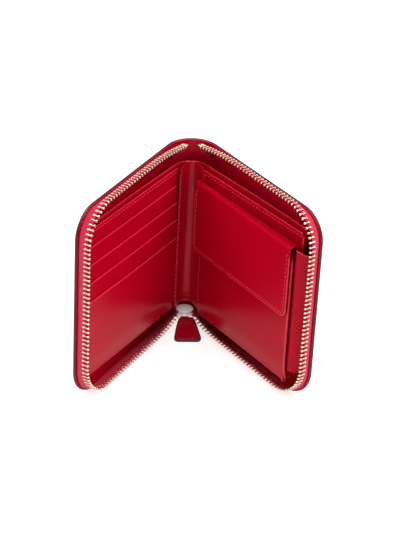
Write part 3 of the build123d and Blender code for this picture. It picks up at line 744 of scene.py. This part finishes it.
def top_line(start, end, z, front, bow):
    """Points along a leaf's top edge."""
    u = np.linspace(start, end, 40)
    return place(u, z, leaning(front, u) + bow(u, np.full_like(u, z)))


def card_bow(u, z):
    """The card panel's soft swell, its sewn foot and its wrinkles."""
    swell = 0.9 * hump(z, 42, 20) * hump(u, 45, 26)
    return swell + lower_curve(z, PANEL_LOW[1], 1.4) + foot_wrinkles(u, z)


def make_card_leaf(number):
    """One of the four overlapping leaves that hold the cards. Leaf 4 is the lowest and the foremost."""
    top = span(f"card_slot_{number}", LEFT)[1][1]
    start, end, bottom = PANEL_LOW[0] + SLOT_INSET, PANEL_HIGH[0], PANEL_LOW[1]
    level = CARD_FRONT - (4 - number) * SLOT_LEAF - SLOT_LEAF / 2

    def bow(u, z):
        lift = 0.3 * ease(z, top - 6, top) * (0.4 + 0.6 * hump(u, 46, 30))
        return card_bow(u, z) + lift

    points, flat = panel_points(start, end, bottom, top, level, bow)
    shape = Shape()
    shape.add_sheet(points, SLOT_LEAF, flat=flat)
    shape.add_bead(top_line(start + 0.1, end - 0.1, top - 0.25, level + 0.08, bow), SLOT_BEAD, 1)
    piece = shape.build(f"card_leaf_{number}", LEFT, [BOOKLET_LEATHER, TURNED_EDGE_PAINTED_HIGHLIGHT])
    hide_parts(f"card_slot_{number}")
    ride_half(piece, LEFT)


def make_card_backing():
    """The panel that the card leaves are sewn to, and the note divider behind it."""
    start, end, top = PANEL_LOW[0], PANEL_HIGH[0], PANEL_HIGH[1]
    level = CARD_FRONT - 4 * SLOT_LEAF - LEAF / 2
    points, flat = panel_points(start, end, PANEL_LOW[1], top, level, card_bow)
    shape = Shape()
    shape.add_sheet(points, LEAF, flat=flat)
    shape.add_bead(top_line(start + 0.1, end - 0.1, top - 0.35, level + 0.05, card_bow), LEAF_BEAD, 2)
    stitch_u = np.linspace(start + 2, end - 2, 40)
    stitch_z = top - STITCH_INSET
    line = place(stitch_u, stitch_z, leaning(level + 0.33, stitch_u) + card_bow(stitch_u, stitch_z))
    shape.add_stitches(line, IN, 1)
    piece = shape.build("card_backing", LEFT, [BOOKLET_LEATHER, THREAD, TURNED_EDGE_PAINTED_HIGHLIGHT])
    sew_in(piece, LEFT, points, ["left_divider"], "card_panel")
    make_divider(LEFT, level - LEAF / 2 - 0.4, card_bow)


def make_divider(side, front, soft):
    """The leaf behind the front panel and the fold that closes the note pocket at the bottom."""
    name = SIDE_NAMES[side]
    low, high = span(f"{name}_note_divider", side)
    lining_face = span("right_lining")[1][2]
    bottom = low[1]

    def bow(u, z):
        gape = -0.5 * ease(z, high[1] - 24, high[1]) * hump(u, 48, 32)
        return soft(u, z) + gape

    u, z = np.meshgrid(steps(low[0], high[0], 2.5), steps(bottom + 1.5, high[1], 2.5))
    middle = front - LEAF / 2
    leaf_n = leaning(middle, u) + bow(u, z)
    leaf = place(u, z, leaf_n)
    fold_n = lining_face + 0.4
    fold = []
    for share in np.linspace(0, 1, 9)[:-1]:
        n = fold_n + (leaf_n[0] - fold_n) * share
        fold.append(place(u[0], bottom + 1.2 - 1.2 * cos(share * pi / 2), n))
    points = np.concatenate([np.array(fold), leaf])
    shape = Shape()
    shape.add_sheet(points, LEAF)
    shape.add_bead(top_line(low[0] + 0.1, high[0] - 0.1, high[1] - 0.3, middle, bow), LEAF_BEAD, 1)
    piece = shape.build(f"{name}_divider", side, [BOOKLET_LEATHER, TURNED_EDGE_PAINTED_HIGHLIGHT])
    sew_in(piece, side, points, [f"{name}_lining_leather"], f"{name}_note_divider", f"{name}_note_floor")


# Each gusset's sewn edge: how far out its booklet's edge is, and its n where that face meets the hinge line.
BOOKLET_WIDTH = {LEFT: 89.0, RIGHT: 84.0}
GUSSET_START = {LEFT: 7.6, RIGHT: COIN_BACK_FRONT + 4.0}


def make_side_gusset(side):
    """The soft leather between the booklet's outer edge and the zip tape."""
    name = SIDE_NAMES[side]
    low, high = span(f"{name}_side_gusset", side)
    start = leaning(GUSSET_START[side], BOOKLET_WIDTH[side])
    foot = low[1] - 7
    share, z = np.meshgrid(np.linspace(0, 1, 14), steps(foot, high[1], 2.0))
    corner = 1.6 * (1 - ease(z, foot, low[1] + 2))
    u = low[0] - 0.8 + (high[0] - corner - low[0] + 0.8) * share
    top_slope = -2.2 * share * ease(z, high[1] - 30, high[1])
    n = start + (low[2] + 0.3 - start) * share**1.3 + 0.9 * np.sin(share * pi) * (0.7 + 0.3 * np.sin(z / 19))
    points = place(u, z + top_slope, n)
    shape = Shape()
    shape.add_sheet(points, LEAF)
    shape.add_bead(points[-1], GUSSET_BEAD, 1)
    piece = shape.build(f"{name}_edge_gusset", side, [BOOKLET_LEATHER, TURNED_EDGE_PAINTED_HIGHLIGHT])
    sew_in(piece, side, points, [f"{name}_tape"], f"{name}_side_gusset")


def strip_points(edge, middle_y, low, high, reach):
    """Half a valley of leather from the middle plane to an edge point, rounded like a sagging sheet."""
    share, z = np.meshgrid(np.concatenate([[0, 0.012], np.linspace(0.08, 1, 16)]), steps(low, high, 1.2))
    x = edge[0] * share
    y = middle_y + (edge[1] - middle_y) * share**reach
    return share, x, y, z


def make_spine_strip(side):
    """The booklet's leather across the spine: a front valley between the panels and an arch behind it."""
    strip_low, strip_high = node_box("booklet_spine")
    name = SIDE_NAMES[side]
    front = span("card_slot_4" if side == LEFT else "coin_pocket_back", side)[1][2]
    divider_low, divider_high = span(f"{name}_note_divider", side)
    shape = Shape()

    edge = place(PANEL_LOW[0] + 1.2, 0, front + 0.1)
    share, x, y, z = strip_points(edge, STRIP_MIDDLE, strip_low[2], strip_high[2] + 0.5, 2.8)
    crease = 0.5 * hump(z, 17, 5) * np.sin((z + 1.6 * share**2) * 2.1) * (1 - share**4)
    draw_back = 1.5 * (1 - ease(z, strip_low[2] - 1, strip_low[2] + 13)) ** 2 * (1 - share**3)
    y = y + crease + draw_back + 0.5 * ease(z, 88, strip_high[2]) * (1 - share)
    flat = np.stack([x, z, np.zeros_like(x)], axis=-1)
    shape.add_sheet(np.stack([x, y, z], axis=-1), LEAF, cut_start=True, flat=flat)

    root = place(divider_low[0] + 2.0, 0, divider_high[2] - 0.4)
    share, x, y, z = strip_points(root, ARCH_MIDDLE, 84, divider_high[1] - 0.2, 2.6)
    z = z - 1.2 * (1 - share**2) * ease(z, 90, divider_high[1])
    flat = np.stack([x, z, np.zeros_like(x)], axis=-1)
    shape.add_sheet(np.stack([x, y, z], axis=-1), LEAF, cut_start=True, flat=flat)
    rim = np.stack([x[-1], y[-1], z[-1] - 0.2], axis=-1)
    shape.add_bead(rim, LEAF_BEAD, 2)

    seam_z = np.linspace(strip_low[2] + 2, strip_high[2] - 2, 30)
    seam = place(PANEL_LOW[0] + 2.2, seam_z, front + 0.05)
    shape.add_stitches(seam, IN, 1, pitch=2.6, length=1.8, radius=0.18)
    edge_z = np.linspace(strip_low[2] + 0.4, strip_high[2], 30)
    shape.add_bead(place(PANEL_LOW[0] + 1.3, edge_z, front), GUSSET_BEAD)
    piece = shape.build(f"{name}_spine_strip", side, [STRIP_LEATHER_PAINTED_HIGHLIGHT, THREAD, TURNED_EDGE_PAINTED_HIGHLIGHT])
    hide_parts("booklet_spine")
    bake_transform(piece)


# ---- coin pocket ----
COIN_LOW, COIN_HIGH = span("coin_pocket_front")
COIN_BACK = 0.8  # thickness of the pocket's back panel
COIN_BACK_BEAD = 0.52
COIN_FRONT_BEAD = 0.6
FLAP_CORNER = 4.5
FLAP_LINING_CORNER = 3.5
FLAP_LINING_DROP = 2.6  # the lining ends this far below its CAD top, clear of the turned edge behind it
FLAP_FOLD = 0.3  # share of the flap's length that goes over the top of the pocket
FLAP_RISE = 0.45  # half the flap's thickness
FLAP_BEAD = 0.5  # radius of the flap's turned edge
FLAP_CLEARANCE = 1.2  # the flap's edge keeps this far back from the spine, to pass its leather when closed


def coin_bow(u, z):
    """How the coin pocket's front swells and its foot draws in."""
    swell = 0.7 * hump(z, 40, 18) * hump(u, 44, 26)
    return swell + lower_curve(z, COIN_LOW[1], 1.6)


def coin_back_bow(_, z):
    """The coin pocket's back is flat but for its sewn foot."""
    return lower_curve(z, BACK_LOW[1], 1.0)


def make_coin_back():
    """The pocket's back panel with its stitched top edge, and the note divider behind it."""
    back_top = BACK_HIGH[1]
    points, flat = panel_points(
        BACK_LOW[0], BACK_HIGH[0], BACK_LOW[1], back_top, COIN_BACK_FRONT - COIN_BACK / 2, coin_back_bow
    )
    shape = Shape()
    shape.add_sheet(points, COIN_BACK, flat=flat)
    bead_front = COIN_BACK_FRONT - 0.35
    rim = top_line(BACK_LOW[0] + 0.1, BACK_HIGH[0] - 0.1, back_top - 0.35, bead_front, coin_back_bow)
    shape.add_bead(rim, COIN_BACK_BEAD, 2)
    side_z = np.linspace(BACK_LOW[1] + 1, back_top - 0.5, 40)
    side_n = leaning(bead_front, BACK_HIGH[0] - 0.3) + coin_back_bow(BACK_HIGH[0], side_z)
    shape.add_bead(place(BACK_HIGH[0] - 0.3, side_z, side_n), COIN_BACK_BEAD, 2)
    stitch_u = np.linspace(BACK_LOW[0] + 2, BACK_HIGH[0] - 1, 40)
    line = place(stitch_u, back_top - STITCH_INSET, leaning(COIN_BACK_FRONT + 0.03, stitch_u))
    shape.add_stitches(line, IN, 1)
    piece = shape.build("coin_back", RIGHT, [BOOKLET_LEATHER, THREAD, TURNED_EDGE_PAINTED_HIGHLIGHT])
    sew_in(piece, RIGHT, points, ["right_divider"], "coin_pocket_back")
    make_divider(RIGHT, COIN_BACK_FRONT - COIN_BACK - 0.8, coin_back_bow)


def make_coin_front():
    """The pocket's front panel, folded round at its foot to the back panel and sewn down beside the spine."""
    front_middle = (COIN_LOW[2] + COIN_HIGH[2]) / 2
    u, z = np.meshgrid(steps(COIN_LOW[0], COIN_HIGH[0], 2), steps(COIN_LOW[1], COIN_HIGH[1], 2))
    leaf = place(u, z, front_middle + coin_bow(u, z))
    fold = []
    back_n = leaning(COIN_BACK_FRONT, u[0])
    for share in np.linspace(0, 1, 10)[:-1]:
        n = back_n + (front_middle + coin_bow(u[0], z[0]) - back_n) * share
        fold.append(place(u[0], COIN_LOW[1] - 1.0 * sin(pi / 2 + share * pi / 2), n))
    points = np.concatenate([np.array(fold), leaf])
    shape = Shape()
    shape.add_sheet(points, COIN_HIGH[2] - COIN_LOW[2])
    side_z = np.linspace(COIN_LOW[1] + 0.6, COIN_HIGH[1] - 0.4, 40)
    side_n = front_middle + coin_bow(COIN_HIGH[0], side_z)
    shape.add_bead(place(COIN_HIGH[0] - 0.3, side_z, side_n), COIN_FRONT_BEAD, 2)
    seam_z = np.linspace(COIN_LOW[1] + 3, 50, 24)
    seam_u = COIN_LOW[0] + STITCH_INSET
    seam = place(seam_u, seam_z, COIN_HIGH[2] + coin_bow(seam_u, seam_z) + 0.03)
    shape.add_stitches(seam, IN, 1, radius=0.16)
    piece = shape.build("coin_front", RIGHT, [BOOKLET_LEATHER, THREAD, TURNED_EDGE_PAINTED_HIGHLIGHT])
    sew_in(piece, RIGHT, points, ["coin_back"], "coin_pocket_front", "coin_pocket_floor", "coin_pocket_seam")


def make_coin_side_fold():
    """The pocket's outer side: one strip folded inwards between its back and its front."""
    gusset_low, _ = span("coin_gusset")
    back_n = leaning(COIN_BACK_FRONT, COIN_HIGH[0])
    front_n = COIN_LOW[2] + 0.2
    share, z = np.meshgrid(np.linspace(0, 1, 25), steps(COIN_LOW[1] - 0.5, COIN_HIGH[1] + 1.5, 2))
    narrow = 1 - 0.35 * (1 - ease(z, COIN_LOW[1], COIN_LOW[1] + 6))  # the fold draws in at its foot
    depth = (COIN_HIGH[0] - gusset_low[0] - 0.4) * (0.9 + 0.1 * ease(z, 20, 70))
    u = COIN_HIGH[0] - 0.3 - depth * np.sin(share * pi) ** 0.8
    n = front_n + (back_n + 0.2 - front_n) * share * narrow
    points = place(u, z, n)[:, ::-1]
    shape = Shape()
    shape.add_sheet(points, LEAF)
    piece = shape.build("coin_side_fold", RIGHT, [BOOKLET_LEATHER])
    sew_in(piece, RIGHT, points, ["coin_back", "coin_front"], "coin_gusset")


def flap_swell(u, z):
    """The soft swell of the flap's middle."""
    return 0.5 * hump(z, 70, 13) * hump(u, 42, 30)


def flap_line(left, right, bottom, top, inset):
    """A line down one side of the flap, round its foot and up the other side, inset from its edge."""
    left_u, right_u, low_z = left + inset, right - inset, bottom + inset
    radius = FLAP_CORNER - inset
    corner = np.radians(np.linspace(0, 90, 7))
    line_u = [
        np.full(12, left_u),
        left_u + radius - radius * np.cos(corner),
        np.linspace(left_u + radius, right_u - radius, 30)[1:-1],
        right_u - radius + radius * np.sin(corner),
        np.full(12, right_u),
    ]
    line_z = [
        np.linspace(top, low_z + radius, 13)[:-1],
        low_z + radius - radius * np.sin(corner),
        np.full(28, low_z),
        low_z + radius - radius * np.cos(corner),
        np.linspace(low_z + radius, top, 13)[1:],
    ]
    return np.concatenate(line_u), np.concatenate(line_z)


def make_flap():
    """The flap: sewn to the back panel, over the top of the pocket in a soft fold and down its front."""
    low, high = span("coin_flap")
    low[0] += FLAP_CLEARANCE
    lining_low, lining_high = span("coin_flap_lining")
    hinge = np.array(JOINTS["coin_flap_hinge"]["pos_m"]) / MM - CORNER
    hinge_n = hinge @ IN
    front_n = (lining_high[2] + high[2]) / 2
    bottom, top = low[1], high[1]
    profile_share = np.concatenate([np.linspace(0, FLAP_FOLD, 14)[:-1], np.linspace(FLAP_FOLD, 1, 24)])
    u, share = np.meshgrid(steps(low[0], high[0], 2), profile_share)
    back_n = leaning(COIN_BACK_FRONT, u) + FLAP_RISE
    over = np.clip(share / FLAP_FOLD, 0, 1)
    angle = pi * (1 - over)
    centre_n, reach = (back_n + front_n) / 2, (front_n - back_n) / 2
    drop = 2.6 + 1.8 * ease(u, 40, high[0])
    arch_n = centre_n + reach * np.cos(angle)
    shoulder = np.sin(angle) ** 0.7
    arch_z = top - FLAP_RISE - drop * (1 - shoulder) * np.where(over < 0.5, 1, 0.35)
    fall = np.clip((share - FLAP_FOLD) / (1 - FLAP_FOLD), 0, 1)
    last_z = top - FLAP_RISE - drop * 0.35
    z = np.where(share < FLAP_FOLD, arch_z, last_z + (bottom - last_z) * fall)
    n = np.where(share < FLAP_FOLD, arch_n, front_n)
    n = n + flap_swell(u, z) * ease(share, FLAP_FOLD, 0.5)
    u, z = round_corner(u, z, (high[0], bottom, 1, -1), FLAP_CORNER)
    u, z = round_corner(u, z, (low[0], bottom, -1, -1), FLAP_CORNER)
    points = place(u, z, n)[::-1]
    shape = Shape()
    flat = np.stack([u, share * 60, np.zeros_like(u)], axis=-1)[::-1]
    shape.add_sheet(points, high[2] - lining_high[2], flat=flat)
    for inset, proud in ((STITCH_INSET, 0.02), (FLAP_BEAD, -0.35)):
        line_u, line_z = flap_line(low[0], high[0], bottom, top - 4, inset)
        line = place(line_u, line_z, high[2] + flap_swell(line_u, line_z) + proud)
        if inset == STITCH_INSET:
            shape.add_stitches(line, IN, 1)
        else:
            shape.add_bead(line, FLAP_BEAD, 2)
    piece = shape.build("flap_outer", RIGHT, [FLAP_LEATHER, THREAD, TURNED_EDGE_PAINTED_HIGHLIGHT])
    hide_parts("coin_flap")
    start = place(hinge[0], 0, hinge_n - 0.8) * MM
    end = place(hinge[0], 0, lining_low[2]) * MM
    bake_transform(piece)


def make_flap_lining():
    """The thinner leather behind the flap's front, which stays flat as the flap opens."""
    lining_low, lining_high = span("coin_flap_lining")
    lining_start = lining_low[0] + FLAP_CLEARANCE
    lining_top = lining_high[1] - FLAP_LINING_DROP
    u, z = np.meshgrid(
        steps(lining_start, lining_high[0], 2.5), steps(lining_low[1], lining_top, 2.5)
    )
    u, z = round_corner(u, z, (lining_high[0], lining_low[1], 1, -1), FLAP_LINING_CORNER)
    u, z = round_corner(u, z, (lining_start, lining_low[1], -1, -1), FLAP_LINING_CORNER)
    swell = 0.9 * flap_swell(u, z)
    points = place(u, z, (lining_low[2] + lining_high[2]) / 2 + swell)
    shape = Shape()
    shape.add_sheet(points, lining_high[2] - lining_low[2])
    piece = shape.build("flap_inner", RIGHT, [FLAP_LEATHER])
    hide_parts("coin_flap_lining")
    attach(piece, "coin_flap")


# ---- slider and pull ----
def plate_outline(low, high):
    """The slider's plate: narrow at the back, wide and rounded to a blunt point at the front."""
    half = (high[0] - low[0]) / 2
    length = high[1] - low[1]
    turn = np.linspace(-pi / 2, 1.5 * pi, 48, endpoint=False)
    across, along = np.cos(turn), np.sin(turn)
    power = 0.82
    x = half * np.sign(across) * np.abs(across) ** power
    y = (low[1] + high[1]) / 2 + length / 2 * np.sign(along) * np.abs(along) ** power
    narrow = 1 - 0.14 * ease(y, low[1] + length * 0.45, high[1])
    return np.stack([x * narrow, y], axis=1)


PLATE = 0.6
SLIT_HALF = 0.85  # half the slit that the tape passes through between the side lips


def make_slider():
    """Two domed plates, the side lips and the wedge between them."""
    low, high = node_box("slider_body")
    shape = Shape()
    outline = plate_outline(low, high)
    shape.add_prism(outline, low[2], low[2] + PLATE, 0.22)
    shape.add_prism(outline, high[2] - PLATE, high[2], 0.28, dome=0.25)
    middle = (low[2] + high[2]) / 2
    mouth, rear = low[1] + 2.6, high[1] - 0.8
    sink = 0.1  # the lips and the wedge run this far into the plates
    for way in (1, -1):
        lip = [(way * x, y) for x, y in ((3.5, rear), (4.0, rear), (4.6, mouth), (4.05, mouth))]
        for bottom, top in (
            (low[2] + PLATE - sink, middle - SLIT_HALF),
            (middle + SLIT_HALF, high[2] - PLATE + sink),
        ):
            shape.add_prism(lip if way < 0 else lip[::-1], bottom, top, 0.08)
    wide = 0.9
    point, wide_start, wide_end, end = (low[1] + reach for reach in (0.5, 1.8, 2.6, 4.0))
    flank = [(wide, wide_start), (wide, wide_end)]
    neck = [(0, point), *flank, (0, end), *((-x, y) for x, y in reversed(flank))]
    shape.add_prism(neck, low[2] + PLATE - sink, high[2] - PLATE + sink, 0.15)
    piece = shape.build("slider_plates", RIGHT, [NICKEL_PAINTED_GLOW])
    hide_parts("slider_body")
    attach(piece, "slider")


TAB_DROP = 1.95  # the pull's underside below its pivot, square to the tab
TAB_LEATHER = 0.85
TAB_LENGTH = 22.9
TAB_BACK = -3.5  # places along the tab are measured from the pivot, forwards being negative
TAB_TONGUE_BACK = -1.8
TAB_SHIFT = 1.0
TAB_FRONT_HALF = 7.7
TAB_BACK_HALF = 3.6
TAB_TONGUE_HALF = 1.9
TAB_FRONT_CORNER = 2.8
TAB_BACK_CORNER = 1.6
PULL_PIVOT = np.array(JOINTS["pull_hinge"]["pos_m"]) / MM
PULL_DIP = asin((PULL_PIVOT[2] - TAB_DROP) / TAB_LENGTH)


def on_pull(points):
    """Points of the shared frame from places on the pull: across, along and above it."""
    along = np.array([0.0, cos(PULL_DIP), sin(PULL_DIP)])
    above = np.array([0.0, -sin(PULL_DIP), cos(PULL_DIP)])
    return PULL_PIVOT + points[..., :1] * (1.0, 0.0, 0.0) + points[..., 1:2] * along + points[..., 2:] * above


def tab_half_width(y):
    """Half the tab's width, widening forwards and quickest near the back."""
    share = np.clip((TAB_BACK - y) / (TAB_LENGTH + TAB_BACK), 0, 1)
    return TAB_BACK_HALF + (TAB_FRONT_HALF - TAB_BACK_HALF) * share**0.65


def make_pull():
    """The leather tab: two layers with dark edges, sewn together round the wire."""
    front, back, wide = -TAB_LENGTH, TAB_BACK, TAB_FRONT_HALF
    for name, node, bottom in (
        ("pull_leather_top", "pull_tab_top", -TAB_DROP + TAB_LEATHER),
        ("pull_leather_under", "pull_tab_bottom", -TAB_DROP),
    ):
        x, y = np.meshgrid(steps(-wide, wide, 0.8, 0.4), steps(front, back, 0.5, 0.4))
        for way in (1, -1):
            x, y = round_corner(x, y, (way * wide, front, way, -1), TAB_FRONT_CORNER)
            x, y = round_corner(x, y, (way * wide, back, way, 1), TAB_BACK_CORNER)
        x = TAB_SHIFT + x / wide * tab_half_width(y)
        z = np.full_like(x, bottom + TAB_LEATHER / 2)
        upper = node == "pull_tab_top"
        if upper:
            for reach, depth in ((1.6, 0.22), (2.9, 0.16), (4.3, 0.1)):
                z = z - depth * hump(y, back - reach - 0.03 * (x - TAB_SHIFT) ** 2, 0.4)
            z = z - 0.08 * hump(y, front + 8, 5)
        flat = np.stack([x, y, np.zeros_like(x)], axis=-1)
        shape = Shape()
        shape.add_sheet(on_pull(np.stack([x, y, z], axis=-1)), TAB_LEATHER, rim=1, flat=flat)
        tx, ty = np.meshgrid(
            np.linspace(-TAB_TONGUE_HALF, TAB_TONGUE_HALF, 6), steps(back - 0.4, TAB_TONGUE_BACK, 0.5, 0.3)
        )
        tongue = np.stack([tx, ty, np.full_like(tx, bottom + TAB_LEATHER / 2)], axis=-1)
        shape.add_sheet(on_pull(tongue), TAB_LEATHER, rim=1, flat=tongue * (1, 1, 0))
        if upper:
            inset, rear = 1.5, back - 5.2
            top = bottom + TAB_LEATHER
            y_line = np.linspace(rear, front + inset + 1.2, 12)
            half = tab_half_width(y_line) - inset
            left = np.stack([TAB_SHIFT - half, y_line, np.full(12, top)], axis=-1)
            corner_x = half[-1] - 1.2
            foot = np.array([[TAB_SHIFT + way * corner_x, front + inset, top] for way in (-1, 1)])
            right = (left * (-1, 1, 1) + (2 * TAB_SHIFT, 0, 0))[::-1]
            lift = on_pull(np.array([0.0, 0.0, 1.0])) - PULL_PIVOT
            line = on_pull(np.concatenate([left, foot, right]))
            for seam in (line, line[[0, -1]]):
                shape.add_stitches(seam, lift, 2, pitch=1.9, length=1.35, radius=0.17)
        piece = shape.build(name, RIGHT, [PULL_LEATHER, EDGE_PAINT, THREAD])
        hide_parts(node)
        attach(piece, "pull")


# ---- carried-over CAD nodes ----
CAD_FINISHES = {
    "left_top_stop": GOLD,
    "right_top_stop": GOLD,
    "bottom_stop": GOLD,
    "slider_crown": NICKEL_PAINTED_GLOW,
    "pull_ring": NICKEL_PAINTED_GLOW,
    "flap_magnet": NICKEL_PAINTED_GLOW,
    "pocket_magnet": NICKEL_PAINTED_GLOW,
    "left_stiffener": BOARD,
    "right_stiffener": BOARD,
}


def finish_cad_nodes():
    for name, material in CAD_FINISHES.items():
        mesh = frame["nodes"][name].data
        mesh.materials.clear()
        mesh.materials.append(material)


# ---- studio ----
def make_floor():
    size = 4.0
    mesh = bpy.data.meshes.new("studio_floor")
    corners = [(-size, -size, 0), (size, -size, 0), (size, size, 0), (-size, size, 0)]
    mesh.from_pydata(corners, [], [(0, 1, 2, 3)])
    floor = bpy.data.objects.new("studio_floor", mesh)
    bpy.context.scene.collection.objects.link(floor)
    nodes = Nodes("studio_floor")
    tone = nodes.noise(nodes.add("ShaderNodeTexCoord").outputs["Object"], 3)
    mesh.materials.append(
        nodes.finish(
            nodes.mix(tone, (0.4, 0.4, 0.4), (0.43, 0.43, 0.43)),
            nodes.ramp(tone, 0.65, 0.75),
            Emission_Color=(1.0, 1.0, 1.0, 1.0),
            Emission_Strength=0.74,
        )
    )


def add_softbox(name, position, target, size, power):
    light = bpy.data.lights.new(name, "AREA")
    light.shape = "RECTANGLE"
    light.size, light.size_y = size
    light.energy = power
    lamp = bpy.data.objects.new(name, light)
    lamp.location = position
    lamp.rotation_mode = "QUATERNION"
    lamp.rotation_quaternion = (Vector(target) - Vector(position)).to_track_quat("-Z", "Y")
    bpy.context.scene.collection.objects.link(lamp)


def make_lights():
    middle = (0, -0.04, 0.05)
    add_softbox("softbox_top", (0.05, -0.1, 1.3), middle, (1.1, 0.9), 19)
    add_softbox("softbox_left", (-1.1, -0.5, 1.0), middle, (0.8, 0.8), 10)
    add_softbox("softbox_right", (1.0, -0.5, 1.1), middle, (0.8, 0.8), 16)
    world = bpy.data.worlds.new("studio")
    world.use_nodes = True
    world.node_tree.nodes["Background"].inputs["Color"].default_value = (1, 1, 1, 1)
    world.node_tree.nodes["Background"].inputs["Strength"].default_value = 0.3
    bpy.context.scene.world = world
    bpy.context.scene.view_settings.view_transform = "Standard"


def make_camera():
    """A long lens a metre away, looking down at the open wallet from slightly left of its middle."""
    pitch, yaw, roll = radians(-30.78), radians(4.69), radians(2.98)
    forward = Vector((sin(yaw) * cos(pitch), cos(yaw) * cos(pitch), sin(pitch)))
    level = Vector((cos(yaw), -sin(yaw), 0))
    upright = level.cross(forward)
    right = level * cos(roll) + upright * sin(roll)
    up = upright * cos(roll) - level * sin(roll)
    camera = bpy.data.cameras.new("camera")
    camera.sensor_width = 36
    camera.lens = 130.8
    seat = bpy.data.objects.new("camera", camera)
    bpy.context.scene.collection.objects.link(seat)
    turn = Matrix((right, up, -forward)).transposed().to_4x4()
    seat.matrix_world = Matrix.Translation(Vector((-0.0663, -0.9026, 0.5713))) @ turn
    bpy.context.scene.camera = seat


for side in (LEFT, RIGHT):
    make_cover(side)
    make_teeth(side)
    make_tape(side)
    make_spine_strip(side)
for leaf in (4, 3, 2, 1):
    make_card_leaf(leaf)
make_card_backing()
make_coin_back()
make_coin_front()
make_coin_side_fold()
make_side_gusset(LEFT)
make_side_gusset(RIGHT)
make_flap()
make_flap_lining()
make_slider()
make_pull()
finish_cad_nodes()
make_floor()
make_lights()
make_camera()
